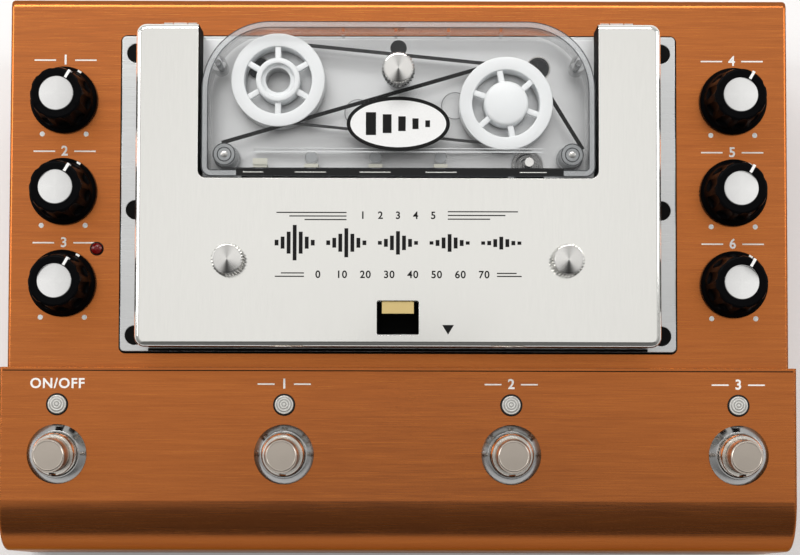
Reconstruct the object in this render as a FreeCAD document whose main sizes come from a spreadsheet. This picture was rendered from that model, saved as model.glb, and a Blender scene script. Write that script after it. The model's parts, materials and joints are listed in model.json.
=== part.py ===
"""Tape echo unit: a foot-operated echo machine with a removable tape cartridge.

Millimetres. +X is right, +Y is the rear and +Z is up; the origin is the middle of the footprint,
on the surface that the feet stand on. Pieces on the sloping decks are drawn in the deck frame:
x as above, v up the slope from the seam between the two shells, n square to the rear deck.
"""
import FreeCAD
import Part

import math
import os

import Sketcher

SIZES = [
    # casing
    ("case_width", 240.0, "front shell, outside width"),
    ("case_depth", 167.5, "front face to rear face"),
    ("front_depth", 54.5, "front face to the seam"),
    ("front_height", 57.0, "front face, up to the corner the bend replaces"),
    ("deck_slope", 5.0, "slope of both decks in degrees, rising to the rear"),
    ("deck_step", 6.0, "front deck above the rear deck, square to them"),
    ("front_bend", 16.0, "rolled front edge, outside"),
    ("rear_bend", 2.5, "folded rear edge, outside"),
    ("side_round", 1.0, "outside edges of the shells' sides"),
    ("sheet", 1.2, "shell thickness"),
    ("shell_gap", 0.1, "play between the nested shells"),
    ("shell_lap", 10.0, "rear shell under the front shell"),
    ("base_sheet", 1.5, "base plate thickness"),
    ("base_gap", 0.2, "play round the base plate"),
    ("foot_height", 3.0, "rubber foot below the base"),
    ("foot_radius", 9.0, "rubber foot"),
    ("foot_side", 20.0, "feet, from the case's sides"),
    ("foot_along", 62.0, "feet off the middle, front to rear"),
    ("stem_radius", 2.5, "stem of a foot, through the base"),
    ("lug_side", 10.0, "screw lug in a shell, square"),
    ("lug_height", 7.0, "screw lug"),
    ("screw_radius", 1.45, "casing screw shank"),
    ("screw_head", 2.75, "casing screw head radius"),
    ("screw_head_height", 1.6, "casing screw head"),
    ("screw_play", 0.05, "screw in its hole"),
    # rear face
    ("socket_height", 30.0, "sockets above the floor"),
    ("socket_side", 32.0, "outer sockets, from the case's sides"),
    ("socket_pitch", 26.0, "between the two sockets of a side"),
    ("socket_bush", 4.7, "socket bush radius"),
    ("socket_bore", 3.2, "socket bore radius for a 6.35 mm plug"),
    ("socket_proud", 3.5, "socket bush beyond the rear face"),
    ("socket_body", 8.0, "half the socket body's width"),
    ("socket_length", 22.0, "socket body behind the rear wall"),
    ("nut_flats", 12.7, "socket nut across flats"),
    ("nut_height", 2.4, "socket nut"),
    ("power_across", -18.0, "power inlet, sideways place"),
    ("power_radius", 4.0, "power inlet barrel"),
    ("power_flange", 5.6, "power inlet flange radius"),
    ("power_bore", 2.8, "power inlet bore"),
    ("power_pin", 1.0, "power inlet centre pin"),
    ("power_length", 13.0, "power inlet inside the case"),
    ("switch_across", 22.0, "slide switch, sideways place"),
    ("switch_length", 12.0, "slide switch body"),
    ("switch_height", 6.0, "slide switch body"),
    ("switch_travel", 1.6, "slide switch, each way"),
    ("slider_side", 2.6, "slide switch tab"),
    ("slider_proud", 2.4, "slide switch tab beyond the face"),
    # foot switches and lamps
    ("pedal_side", 17.55, "outer foot switches, from the case's sides"),
    ("pedal_along", -25.6, "foot switches, from the seam"),
    ("bush_radius", 6.0, "foot switch bush"),
    ("bush_height", 7.6, "bush above the front deck"),
    ("bush_bore", 5.1, "bush bore"),
    ("bush_depth", 10.0, "bore below the front deck"),
    ("key_width", 2.0, "keyway in the bush"),
    ("key_depth", 0.6, "keyway in the bush"),
    ("pedal_body", 8.5, "half the switch body's width"),
    ("pedal_body_height", 19.0, "switch body below the deck"),
    ("button_radius", 5.0, "foot switch button"),
    ("button_height", 16.3, "button top above the front deck"),
    ("button_travel", 3.0, "button stroke"),
    ("button_edge", 0.45, "button edge bevel"),
    ("bezel_radius", 8.95, "conical washer, at the deck"),
    ("bezel_top", 7.05, "conical washer, at the top"),
    ("bezel_bore", 6.4, "conical washer bore"),
    ("bezel_height", 2.3, "conical washer"),
    ("lamp_along", -10.7, "status lamps, from the seam"),
    ("lamp_radius", 2.9, "status lamp"),
    ("lamp_proud", 0.9, "status lamp above the deck"),
    ("lamp_depth", 4.0, "status lamp below the deck's top"),
    ("signal_share", 0.4222, "red lamp, share of the way from the plate to the knobs"),
    ("signal_along", 36.6, "red lamp, from the seam"),
    ("signal_radius", 1.75, "red lamp"),
    # knobs and controls
    ("knob_front", 26.0, "front knobs, from the seam"),
    ("knob_pitch", 28.0, "between knobs"),
    ("knob_skirt", 10.2, "skirt radius"),
    ("knob_base", 0.8, "skirt above the deck"),
    ("skirt_top", 2.8, "top of the skirt above the deck"),
    ("knob_radius", 8.0, "fluted body radius"),
    ("knob_top", 17.0, "knob top above the deck"),
    ("knob_edge", 1.2, "bevel of the knob's top"),
    ("cap_radius", 5.1, "metal cap, in a shallow recess"),
    ("cap_recess", 0.25, "recess for the metal cap"),
    ("flute_radius", 1.7, "flute"),
    ("flute_count", 10, "flutes round a knob"),
    ("knob_hollow", 6.8, "hollow under the knob"),
    ("hollow_top", 3.6, "top of that hollow"),
    ("shaft_radius", 3.0, "control shaft"),
    ("control_bush", 3.5, "control bush radius"),
    ("control_nut", 5.4, "control nut radius"),
    ("control_nut_height", 2.0, "control nut"),
    ("control_radius", 8.0, "control body"),
    ("control_height", 7.3, "control body below the shell"),
    ("board_sheet", 1.6, "circuit board"),
    ("board_inset", 7.9, "control board's edge, from the case's side"),
    ("board_run_on", 10.0, "control board beyond the end controls"),
    ("main_board_half", 84.0, "half the main board's width"),
    ("main_board_front", -44.0, "main board, front edge"),
    ("main_board_rear", 54.0, "main board, rear edge"),
    ("board_height", 6.0, "main board above the base plate"),
    ("post_radius", 3.0, "post under the main board"),
    # plate
    ("plate_width", 168.4, "deck plate"),
    ("plate_front", 5.4, "deck plate front edge, from the seam"),
    ("plate_rear", 101.4, "deck plate rear edge, from the seam"),
    ("plate_sheet", 2.0, "deck plate thickness"),
    ("plate_corner", 1.3, "deck plate corners"),
    ("gasket_sheet", 0.5, "gasket thickness"),
    ("gasket_rim", 0.65, "gasket beyond the plate"),
    ("well_half", 62.0, "half the width of the well for the mechanism"),
    ("well_front", 20.0, "well, front edge"),
    ("well_rear", 88.0, "well, rear edge"),
    ("well_corner", 3.0, "well corners"),
    ("grommet_inset", 4.4, "grommets, in from the plate's sides"),
    ("grommet_front", 10.2, "front grommets"),
    ("grommet_middle", 48.3, "middle grommets"),
    ("grommet_rear", 96.2, "rear grommets"),
    ("grommet_radius", 2.9, "grommet"),
    ("grommet_neck", 1.8, "grommet neck"),
    ("grommet_proud", 0.15, "grommet above the plate"),
    # hinge of the tape deck
    ("hinge_inset", 17.7, "hinges, in from the plate's sides"),
    ("hinge_along", 104.2, "hinge axis, from the seam"),
    ("hinge_level", 1.9, "hinge axis above the rear deck"),
    ("hinge_radius", 1.6, "hinge knuckle"),
    ("hinge_pin", 0.75, "hinge pin"),
    ("hinge_half", 2.0, "half the moving knuckle's width"),
    ("hinge_ear", 2.7, "fixed knuckle width"),
    ("hinge_gap", 0.3, "between knuckles"),
    ("hinge_head", 1.2, "hinge pin head radius"),
    ("hinge_head_width", 0.8, "hinge pin head"),
    ("run_gap", 0.05, "running fit, each side"),
    # tray
    ("tray_level", 2.9, "underside of the tray"),
    ("tray_sheet", 1.5, "tray thickness"),
    ("tray_inset", 8.7, "tray, in from the plate's sides"),
    ("tray_front", 10.4, "tray front edge"),
    ("tray_rear", 100.3, "tray rear edge"),
    ("tray_corner", 3.0, "tray corners"),
    ("eye_across", 42.4, "bushed holes in the tray"),
    ("eye_along", 91.4, "bushed holes in the tray"),
    ("eye_radius", 3.3, "bushed holes in the tray"),
    # cover
    ("cover_inset", 6.4, "cover, in from the plate's sides"),
    ("cover_front", 6.4, "cover front"),
    ("cover_rear", 102.3, "cover rear"),
    ("cover_level", 2.8, "cover's lower edge"),
    ("cover_top", 21.0, "cover's top"),
    ("cover_sheet", 1.2, "cover thickness"),
    ("cover_corner", 3.0, "cover corners, seen from above"),
    ("cover_bend", 1.6, "cover's top edge"),
    ("bay_half", 59.35, "half the width of the cartridge bay"),
    ("bay_front", 56.3, "front of the cartridge bay"),
    ("bay_corner", 2.5, "corners of the cartridge bay"),
    ("window_half", 6.2, "half the latch window"),
    ("window_front", 9.9, "latch window"),
    ("window_rear", 20.1, "latch window"),
    ("cover_screw_across", 49.8, "cover screws off the middle"),
    ("cover_screw_along", 31.8, "cover screws, from the seam"),
    ("thumb_radius", 4.9, "thumbscrew head"),
    ("thumb_height", 8.2, "thumbscrew head"),
    ("thumb_edge", 0.9, "thumbscrew head bevel"),
    ("thumb_shank", 1.95, "thumbscrew shank"),
    ("thumb_reach", 9.0, "thumbscrew shank below its seat"),
    ("thumb_lift", 0.15, "thumbscrew head above its seat"),
    ("thumb_play", 0.2, "thumbscrew in a plain hole"),
    ("thumb_post", 3.5, "post for a thumbscrew"),
    # latch
    ("latch_half", 4.75, "half the latch's width"),
    ("latch_front", 21.6, "front of the latch's stem"),
    ("latch_sheet", 1.6, "latch thickness"),
    ("latch_tab", 16.4, "front end of the latch's tab"),
    ("latch_tab_level", 17.0, "top of the latch's tab"),
    ("latch_clear", 0.3, "latch's hook clear of the well's front edge"),
    ("latch_pivot_level", 7.5, "latch pivot above the rear deck"),
    ("latch_play", 0.2, "hook below its keeper"),
    ("keeper_sheet", 0.4, "keeper spring thickness"),
    ("keeper_length", 9.0, "keeper spring"),
    ("pivot_radius", 0.8, "latch pivot pin"),
    ("bracket_sheet", 1.2, "bracket of the latch"),
    ("bracket_half", 2.2, "half the bracket's length"),
    ("spring_radius", 1.6, "latch spring, to the wire's middle"),
    ("spring_wire", 0.2, "latch spring wire radius"),
    ("spring_length", 5.2, "latch spring"),
    ("spring_level", -0.8, "latch spring axis"),
    ("spring_turns", 5, "latch spring"),
    # cartridge
    ("cartridge_half", 58.4, "half the cartridge's width"),
    ("cartridge_front", 56.9, "cartridge front"),
    ("cartridge_rear", 103.2, "cartridge rear"),
    ("cartridge_level", 4.7, "cartridge underside"),
    ("cartridge_split", 12.0, "where base and lid meet"),
    ("cartridge_top", 20.0, "cartridge lid's top"),
    ("cartridge_wall", 1.8, "cartridge wall"),
    ("cartridge_floor", 1.2, "cartridge floor and lid thickness"),
    ("rear_round", 20.4, "cartridge rear corners"),
    ("front_round", 2.9, "cartridge front corners"),
    ("mouth_half", 48.7, "half the width of the cartridge's mouth"),
    ("mouth_rear", 60.6, "floor's edge at the mouth"),
    ("boss_across", 53.6, "cartridge screws"),
    ("boss_along", 90.8, "cartridge screws"),
    ("boss_radius", 2.3, "cartridge screw boss"),
    ("tiny_head", 1.5, "cartridge screw head"),
    ("tiny_shank", 0.9, "cartridge screw shank"),
    ("centre_along", 88.1, "cartridge thumbscrew, from the seam"),
    ("centre_tube", 4.1, "tube under the lid for the thumbscrew"),
    ("rib_low", 65.6, "moulded rib behind the mouth"),
    ("stub_first", -16.5, "first rib at the cartridge's rear wall"),
    ("stub_pitch", 15.7, "between those ribs"),
    ("rib_thick", 0.9, "moulded ribs"),
    ("rib_height", 3.0, "moulded ribs"),
    # tape path
    ("tape_line", 60.0, "front run of the tape, from the seam"),
    ("tape_thick", 0.15, "tape, drawn thicker than it is"),
    ("tape_low", 7.5, "tape's lower edge"),
    ("tape_width", 6.1, "tape"),
    ("tape_gap", 0.08, "tape to what turns"),
    ("reel_left_across", -36.0, "left reel"),
    ("reel_left_along", 86.3, "left reel"),
    ("reel_right_across", 32.2, "right reel"),
    ("reel_right_along", 79.4, "right reel"),
    ("reel_radius", 14.0, "reel flange"),
    ("reel_drum", 11.8, "reel drum"),
    ("reel_window", 10.0, "reel window"),
    ("reel_hub", 6.6, "reel hub"),
    ("reel_bore", 3.7, "reel bore"),
    ("reel_recess", 4.9, "recess round the left reel's post"),
    ("spoke_width", 1.75, "reel spoke"),
    ("reel_low", 6.3, "reel's underside"),
    ("flange_sheet", 0.9, "reel flange thickness"),
    ("reel_top", 15.2, "reel's upper flange, top"),
    ("hub_top", 16.0, "reel hub, top"),
    ("reel_turn", 11.0, "right reel, as it stands"),
    ("roller_across", 51.7, "guide rollers"),
    ("roller_radius", 3.4, "guide roller"),
    ("roller_flange", 3.9, "guide roller flange"),
    ("roller_cap", 3.0, "guide roller cap"),
    ("roller_low", 6.2, "guide roller, underside"),
    ("roller_top", 17.4, "guide roller, top of the barrel"),
    ("roller_pin", 1.2, "guide roller pin"),
    # heads
    ("erase_across", -41.3, "erase head"),
    ("record_across", -26.0, "record head"),
    ("play_first", -6.8, "first playback head"),
    ("play_second", 12.7, "second playback head"),
    ("head_gap", 0.12, "head to the tape"),
    ("head_half", 5.6, "half a head's width"),
    ("erase_half", 4.4, "half the erase head's width"),
    ("head_nose", 3.6, "head's rounded nose"),
    ("head_rear", 47.0, "far side of the heads"),
    ("head_top", 16.6, "top of the heads"),
    ("block_half", 47.4, "half the head block"),
    ("block_front", 44.6, "head block"),
    ("block_rear", 59.3, "head block"),
    ("block_height", 2.0, "head block"),
    ("peg_radius", 1.9, "pressure peg"),
    ("pad_half", 2.05, "half a pressure pad"),
    ("pad_thick", 1.1, "pressure pad"),
    # drive
    ("capstan_across", 39.0, "capstan"),
    ("capstan_radius", 1.35, "capstan"),
    ("capstan_top", 17.0, "capstan, top"),
    ("capstan_foot", -19.8, "capstan, lower end"),
    ("collar_radius", 4.8, "bearing collar on the tray"),
    ("collar_height", 0.9, "bearing collar on the tray"),
    ("barrel_radius", 3.4, "bearing barrel under the tray"),
    ("barrel_foot", -8.0, "bearing barrel, lower end"),
    ("wheel_radius", 15.0, "flywheel"),
    ("wheel_hub", 4.0, "flywheel hub"),
    ("wheel_low", -19.0, "flywheel"),
    ("wheel_thick", 5.0, "flywheel"),
    ("hub_rise", 4.5, "flywheel hub above the wheel"),
    ("motor_across", -9.0, "motor"),
    ("motor_along", 52.0, "motor"),
    ("motor_radius", 12.0, "motor"),
    ("motor_foot", -12.6, "motor, lower end"),
    ("motor_boss", 3.0, "motor boss"),
    ("boss_height", 0.8, "motor boss"),
    ("motor_shaft", 1.0, "motor shaft"),
    ("pulley_radius", 3.0, "motor pulley"),
    ("belt_thick", 0.9, "belt"),
    ("belt_width", 2.0, "belt"),
    ("belt_gap", 0.06, "belt to the wheels"),
    ("pinch_radius", 5.0, "pinch roller"),
    ("pinch_low", 6.8, "pinch roller"),
    ("pinch_top", 15.4, "pinch roller"),
    ("axle_radius", 1.0, "pinch roller axle"),
    ("arm_pivot_across", 54.6, "pinch arm pivot"),
    ("arm_pivot_along", 45.4, "pinch arm pivot"),
    ("arm_half", 2.6, "half the pinch arm's width"),
    ("arm_low", 5.5, "pinch arm"),
    ("arm_sheet", 1.0, "pinch arm"),
    ("arm_pin", 1.5, "pinch arm pivot post"),
]

DOC = FreeCAD.newDocument("tape_echo_unit")
PIECES = []
ON_EDGE = 1e-3
SQUARE_TURN = 90
FULL_TURN = 360
OPEN_END = 5.0
HEXAGON = 6
MIRROR = (-1, 1)


class Size:
    """A number together with the formula that gives it from the sheet."""

    def __init__(self, number, formula):
        self.number = number
        self.formula = formula

    def __add__(self, other):
        other = size(other)
        return Size(self.number + other.number, f"({self.formula} + {other.formula})")

    def __sub__(self, other):
        other = size(other)
        return Size(self.number - other.number, f"({self.formula} - {other.formula})")

    def __mul__(self, other):
        other = size(other)
        return Size(self.number * other.number, f"({self.formula} * {other.formula})")

    def __truediv__(self, other):
        other = size(other)
        return Size(self.number / other.number, f"({self.formula} / {other.formula})")

    def __neg__(self):
        return Size(-self.number, f"(0 - {self.formula})")

    def __radd__(self, other):
        return size(other) + self

    def __rsub__(self, other):
        return size(other) - self

    def __rmul__(self, other):
        return size(other) * self


def size(value):
    """A plain number becomes a Size; a Size stays as it is."""
    return value if isinstance(value, Size) else Size(float(value), repr(float(value)))


def sine(angle):
    return Size(math.sin(math.radians(angle.number)), f"sin({angle.formula})")


def cosine(angle):
    return Size(math.cos(math.radians(angle.number)), f"cos({angle.formula})")


def slant(rise, run):
    """The angle in degrees of a slope with this rise and run."""
    ratio = rise / run
    return Size(math.degrees(math.atan(ratio.number)), f"(atan({ratio.formula}) / 1 deg)")


class Sheet:
    """The spreadsheet; each alias is an attribute that gives a Size."""

    def __init__(self, table):
        cells = DOC.addObject("Spreadsheet::Sheet", "Sizes")
        for row, (alias, number, note) in enumerate(table, start=1):
            cells.set(f"A{row}", note)
            cells.set(f"B{row}", str(number))
            cells.setAlias(f"B{row}", alias)
            setattr(self, alias, Size(float(number), f"Sizes.{alias}"))
        DOC.recompute()


S = Sheet(SIZES)

# the casing's own frame
FRONT_Y = -(S.case_depth + S.socket_proud) / 2
REAR_Y = FRONT_Y + S.case_depth
SEAM_Y = FRONT_Y + S.front_depth
SLOPE_SINE = sine(S.deck_slope)
SLOPE_COSINE = cosine(S.deck_slope)
SLOPE_TANGENT = SLOPE_SINE / SLOPE_COSINE
CORNER_Z = S.foot_height + S.front_height
SEAM_Z = CORNER_Z + S.front_depth * SLOPE_TANGENT - S.deck_step / SLOPE_COSINE
FRONT_INSIDE = S.case_width / 2 - S.sheet
REAR_HALF = FRONT_INSIDE - S.shell_gap
REAR_INSIDE = REAR_HALF - S.sheet
BASE_TOP = S.foot_height + S.base_sheet

# levels above the rear deck
PLATE_TOP = S.gasket_sheet + S.plate_sheet
TRAY_TOP = S.tray_level + S.tray_sheet
COVER_SEAT = S.cover_top - S.cover_sheet
FLOOR_TOP = S.cartridge_level + S.cartridge_floor
LID_UNDER = S.cartridge_top - S.cartridge_floor
TAPE_TOP = S.tape_low + S.tape_width
BLOCK_TOP = TRAY_TOP + S.block_height
BOARD_TOP = -(S.sheet + S.control_height)
FRONT_UNDER = S.deck_step - S.sheet

# places on the decks
PLATE_HALF = S.plate_width / 2
TRAY_HALF = PLATE_HALF - S.tray_inset
COVER_HALF = PLATE_HALF - S.cover_inset
HINGE_ACROSS = PLATE_HALF - S.hinge_inset
GROMMET_ACROSS = PLATE_HALF - S.grommet_inset
KNOB_ACROSS = (S.case_width / 2 + PLATE_HALF) / 2
SIGNAL_ACROSS = -(PLATE_HALF + (KNOB_ACROSS - PLATE_HALF) * S.signal_share)
PEDAL_PITCH = (S.case_width - 2 * S.pedal_side) / 3
PEDAL_SPOTS = [((turn - 1.5) * PEDAL_PITCH, S.pedal_along) for turn in range(4)]
LAMP_SPOTS = [(across, S.lamp_along) for across, _ in PEDAL_SPOTS]
KNOB_SPOTS = [
    (side * KNOB_ACROSS, S.knob_front + row * S.knob_pitch) for side in MIRROR for row in (2, 1, 0)
]
GROMMET_SPOTS = [
    (side * GROMMET_ACROSS, along)
    for side in MIRROR
    for along in (S.grommet_front, S.grommet_middle, S.grommet_rear)
]
COVER_SCREW_SPOTS = [(side * S.cover_screw_across, S.cover_screw_along) for side in MIRROR]
CENTRE_SPOT = (size(0), S.centre_along)
BOSS_SPOTS = [(side * S.boss_across, S.boss_along) for side in MIRROR]
ROLLER_ALONG = S.tape_line + S.tape_thick + S.tape_gap + S.roller_radius
ROLLER_SPOTS = [(side * S.roller_across, ROLLER_ALONG) for side in MIRROR]
REEL_SPOTS = [(S.reel_left_across, S.reel_left_along), (S.reel_right_across, S.reel_right_along)]
CAPSTAN_SPOT = (S.capstan_across, S.tape_line + S.tape_thick + S.tape_gap + S.capstan_radius)
PINCH_SPOT = (S.capstan_across, S.tape_line - S.tape_gap - S.pinch_radius)
ARM_SPOT = (S.arm_pivot_across, S.arm_pivot_along)
MOTOR_SPOT = (S.motor_across, S.motor_along)
EYE_SPOTS = [(side * S.eye_across, S.eye_along) for side in MIRROR]
PAD_ALONG = S.tape_line + S.tape_thick + S.tape_gap
PEG_ALONG = PAD_ALONG + S.pad_thick + S.peg_radius
PEG_SPOTS = [(across, PEG_ALONG) for across in (S.record_across, S.play_first, S.play_second)]
PAD_PLACES = (S.erase_across, S.record_across, S.play_first, S.play_second)
SOCKET_OUTER = S.case_width / 2 - S.socket_side
SOCKET_INNER = SOCKET_OUTER - S.socket_pitch
SOCKET_SPOTS = [(place, size(0)) for place in (-SOCKET_OUTER, -SOCKET_INNER, SOCKET_INNER, SOCKET_OUTER)]
LUG_EDGE = 2.0
LUG_PLACES = (
    (FRONT_INSIDE, FRONT_Y + S.sheet + LUG_EDGE + S.lug_side / 2),
    (FRONT_INSIDE, SEAM_Y - S.shell_lap - LUG_EDGE - S.lug_side / 2),
    (REAR_INSIDE, SEAM_Y + LUG_EDGE + S.lug_side / 2),
    (REAR_INSIDE, REAR_Y - S.sheet - LUG_EDGE - S.lug_side / 2),
)
SCREW_ACROSS = REAR_INSIDE - S.lug_side / 2
FOOT_ACROSS = S.case_width / 2 - S.foot_side
FOOT_SPOTS = [(side * FOOT_ACROSS, end * S.foot_along) for side in MIRROR for end in MIRROR]
SCREW_SPOTS = [(side * SCREW_ACROSS, along) for side in MIRROR for _, along in LUG_PLACES]
WELL = (-S.well_half, S.well_half, S.well_front, S.well_rear, [S.well_corner] * 4)
POST_INSET = 6.0
POST_SPOTS = [
    (side * (S.main_board_half - POST_INSET), along)
    for side in MIRROR
    for along in (S.main_board_front + POST_INSET, S.main_board_rear - POST_INSET)
]


def bind(item, field, value):
    """Tie one property of an object to the sheet."""
    item.setExpression(field, size(value).formula)


def tilted(degrees):
    """A placement at the origin, turned about X."""
    return FreeCAD.Placement(FreeCAD.Vector(), FreeCAD.Rotation(FreeCAD.Vector(1, 0, 0), degrees))


def deck_place(item, across=0, along=0, lift=0, turn=0):
    """Stand an object on the rear deck, its own Z square to the deck, or turned from that about X."""
    angle = S.deck_slope + turn
    item.Placement = tilted(angle.number)
    along, lift = size(along), size(lift)
    bind(item, "Placement.Base.x", across)
    bind(item, "Placement.Base.y", SEAM_Y + along * SLOPE_COSINE - lift * SLOPE_SINE)
    bind(item, "Placement.Base.z", SEAM_Z + along * SLOPE_SINE + lift * SLOPE_COSINE)
    bind(item, "Placement.Rotation.Angle", angle)


def rear_place(item):
    """Stand an object on the rear face: its Z points to the rear and its Y points down."""
    item.Placement = tilted(-SQUARE_TURN)
    bind(item, "Placement.Base.y", REAR_Y)
    bind(item, "Placement.Base.z", S.socket_height)


class Piece:
    """One physical piece as a body, drawn with sketches that are bound to the sheet."""

    def __init__(self, label, place=None, **where):
        self.body = DOC.addObject("PartDesign::Body", label)
        self.body.Label = label
        self.body.AllowCompound = True
        if place:
            place(self.body, **where)
        PIECES.append(self.body)

    def sketch(self, lift=0, plane="XY_Plane", on_deck=False, turn=None):
        """An empty sketch, parallel to a plane of the body, or on the sloping deck."""
        sketch = self.body.newObject("Sketcher::SketchObject", f"{self.body.Name}_sketch")
        support = [item for item in self.body.Origin.OriginFeatures if item.Role == plane]
        sketch.AttachmentSupport = [(support[0], "")]
        sketch.MapMode = "FlatFace"
        lift = size(lift)
        if on_deck:
            sketch.AttachmentOffset = tilted(S.deck_slope.number)
            bind(sketch, "AttachmentOffset.Base.y", SEAM_Y - lift * SLOPE_SINE)
            bind(sketch, "AttachmentOffset.Base.z", SEAM_Z + lift * SLOPE_COSINE)
            bind(sketch, "AttachmentOffset.Rotation.Angle", S.deck_slope)
            return sketch
        if turn is not None:
            swing = FreeCAD.Rotation(FreeCAD.Vector(0, 0, 1), turn.number)
            sketch.AttachmentOffset = FreeCAD.Placement(FreeCAD.Vector(), swing)
            bind(sketch, "AttachmentOffset.Rotation.Angle", turn)
        bind(sketch, "AttachmentOffset.Base.z", lift)
        return sketch

    @staticmethod
    def hold(sketch, constraint, value):
        """Add a dimension and tie it to the sheet."""
        row = sketch.addConstraint(constraint)
        bind(sketch, f"Constraints[{row}]", value)

    def hold_point(self, sketch, shape, end, across, along):
        """Hold a point of a sketch at a place measured from the sketch's origin."""
        across, along = size(across), size(along)
        side = Sketcher.Constraint("DistanceX", -1, 1, shape, end, across.number)
        self.hold(sketch, side, across)
        rise = Sketcher.Constraint("DistanceY", -1, 1, shape, end, along.number)
        self.hold(sketch, rise, along)

    def circles(self, spots, radius, **where):
        """A sketch of equal circles."""
        sketch = self.sketch(**where)
        radius = size(radius)
        for across, along in spots:
            centre = FreeCAD.Vector(size(across).number, size(along).number, 0)
            ring = sketch.addGeometry(Part.Circle(centre, FreeCAD.Vector(0, 0, 1), radius.number))
            self.hold(sketch, Sketcher.Constraint("Radius", ring, radius.number), radius)
            self.hold_point(sketch, ring, 3, across, along)
        return sketch

    def outlines(self, loops, **where):
        """A sketch of closed outlines with straight sides."""
        sketch = self.sketch(**where)
        for loop in loops:
            corners = [FreeCAD.Vector(size(x).number, size(y).number, 0) for x, y in loop]
            sides = [
                sketch.addGeometry(Part.LineSegment(corners[turn - 1], corners[turn]))
                for turn in range(len(corners))
            ]
            for turn, side in enumerate(sides):
                sketch.addConstraint(Sketcher.Constraint("Coincident", sides[turn - 1], 2, side, 1))
                self.hold_point(sketch, side, 2, *loop[turn])
        return sketch

    def rounded(self, left, right, low, high, radii, **where):
        """A sketch of a rectangle with round corners, from the low left corner on, against the clock."""
        sketch = self.sketch(**where)
        left, right, low, high = size(left), size(right), size(low), size(high)
        radii = [size(radius) for radius in radii]
        centres = (
            (left + radii[0], low + radii[0]),
            (right - radii[1], low + radii[1]),
            (right - radii[2], high - radii[2]),
            (left + radii[3], high - radii[3]),
        )
        arcs = []
        for turn, (across, along) in enumerate(centres):
            middle = FreeCAD.Vector(across.number, along.number, 0)
            ring = Part.Circle(middle, FreeCAD.Vector(0, 0, 1), radii[turn].number)
            start = math.radians((turn + 2) * SQUARE_TURN)
            arcs.append(sketch.addGeometry(Part.ArcOfCircle(ring, start, start + math.pi / 2)))
        for turn, arc in enumerate(arcs):
            follower = arcs[(turn + 1) % len(arcs)]
            start = sketch.Geometry[arc].EndPoint
            end = sketch.Geometry[follower].StartPoint
            side = sketch.addGeometry(Part.LineSegment(start, end))
            sketch.addConstraint(Sketcher.Constraint("Tangent", arc, 2, side, 1))
            sketch.addConstraint(Sketcher.Constraint("Tangent", side, 2, follower, 1))
        for turn, (across, along) in enumerate(centres):
            self.hold(sketch, Sketcher.Constraint("Radius", arcs[turn], radii[turn].number), radii[turn])
            self.hold_point(sketch, arcs[turn], 3, across, along)
        return sketch

    def pad(self, sketch, length, midplane=False, taper=None):
        """Raise a sketch."""
        pad = self.body.newObject("PartDesign::Pad", f"{self.body.Name}_pad")
        pad.Profile = sketch
        pad.Midplane = midplane
        bind(pad, "Length", length)
        if taper is not None:
            bind(pad, "TaperAngle", taper)
        self.body.Tip = pad
        return self

    def pocket(self, sketch, depth, midplane=False):
        """Cut a sketch downwards from its plane."""
        pocket = self.body.newObject("PartDesign::Pocket", f"{self.body.Name}_pocket")
        pocket.Profile = sketch
        pocket.Midplane = midplane
        bind(pocket, "Length", depth)
        self.body.Tip = pocket
        return self

    def disc(self, spots, radius, low, high, **where):
        return self.pad(self.circles(spots, radius, lift=low, **where), high - size(low))

    def hole(self, spots, radius, low, high, **where):
        return self.pocket(self.circles(spots, radius, lift=high, **where), size(high) - low)

    def block(self, boxes, low, high, **where):
        """Raise rectangles, each given as left, right, near and far side."""
        loops = [rectangle(*sides) for sides in boxes]
        return self.pad(self.outlines(loops, lift=low, **where), high - size(low))

    def slot(self, boxes, low, high, **where):
        loops = [rectangle(*sides) for sides in boxes]
        return self.pocket(self.outlines(loops, lift=high, **where), size(high) - low)

    def repeat(self, sketch, count):
        """Repeat the last feature round its sketch's own axis."""
        last = self.body.Tip
        pattern = self.body.newObject("PartDesign::PolarPattern", f"{self.body.Name}_pattern")
        pattern.Originals = [last]
        pattern.Axis = (sketch, ["N_Axis"])
        pattern.Angle = FULL_TURN
        bind(pattern, "Occurrences", count)
        self.body.Tip = pattern
        return self

    def dress(self, kind, field, value, chosen):
        """Round or bevel the edges that a test picks from the shape so far."""
        DOC.recompute()
        base = self.body.Tip
        names = [f"Edge{row}" for row, edge in enumerate(base.Shape.Edges, start=1) if chosen(edge)]
        feature = self.body.newObject(f"PartDesign::{kind}", f"{self.body.Name}_{kind}")
        feature.Base = (base, names)
        bind(feature, field, value)
        self.body.Tip = feature
        return self

    def fillet(self, radius, chosen):
        return self.dress("Fillet", "Radius", radius, chosen)

    def chamfer(self, side, chosen):
        return self.dress("Chamfer", "Size", side, chosen)


def rectangle(left, right, near, far):
    return [(left, near), (right, near), (right, far), (left, far)]


def both_sides(inner, outer, near, far):
    """The same rectangle right and left of the middle."""
    return [(inner, outer, near, far), (-size(outer), -size(inner), near, far)]


def hexagon(across, along, flats):
    """The corners of a hexagon with this width across flats."""
    reach = flats / 2 / math.cos(math.pi / HEXAGON)
    angles = [math.tau * turn / HEXAGON for turn in range(HEXAGON)]
    return [(across + reach * math.cos(angle), along + reach * math.sin(angle)) for angle in angles]


def near(value, target):
    return abs(value - size(target).number) < ON_EDGE


def level_ring(level, radius=None):
    """A test for round edges at one level, of one radius if that is given."""

    def chosen(edge):
        if not isinstance(edge.Curve, Part.Circle):
            return False
        right_size = radius is None or near(edge.Curve.Radius, radius)
        return right_size and near(edge.Curve.Center.z, level)

    return chosen


def crosswise(along, height):
    """A test for straight edges parallel to X through one place of the side view."""

    def chosen(edge):
        ends = [vertex.Point for vertex in edge.Vertexes]
        return len(ends) == 2 and all(near(end.y, along) and near(end.z, height) for end in ends)

    return chosen


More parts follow.
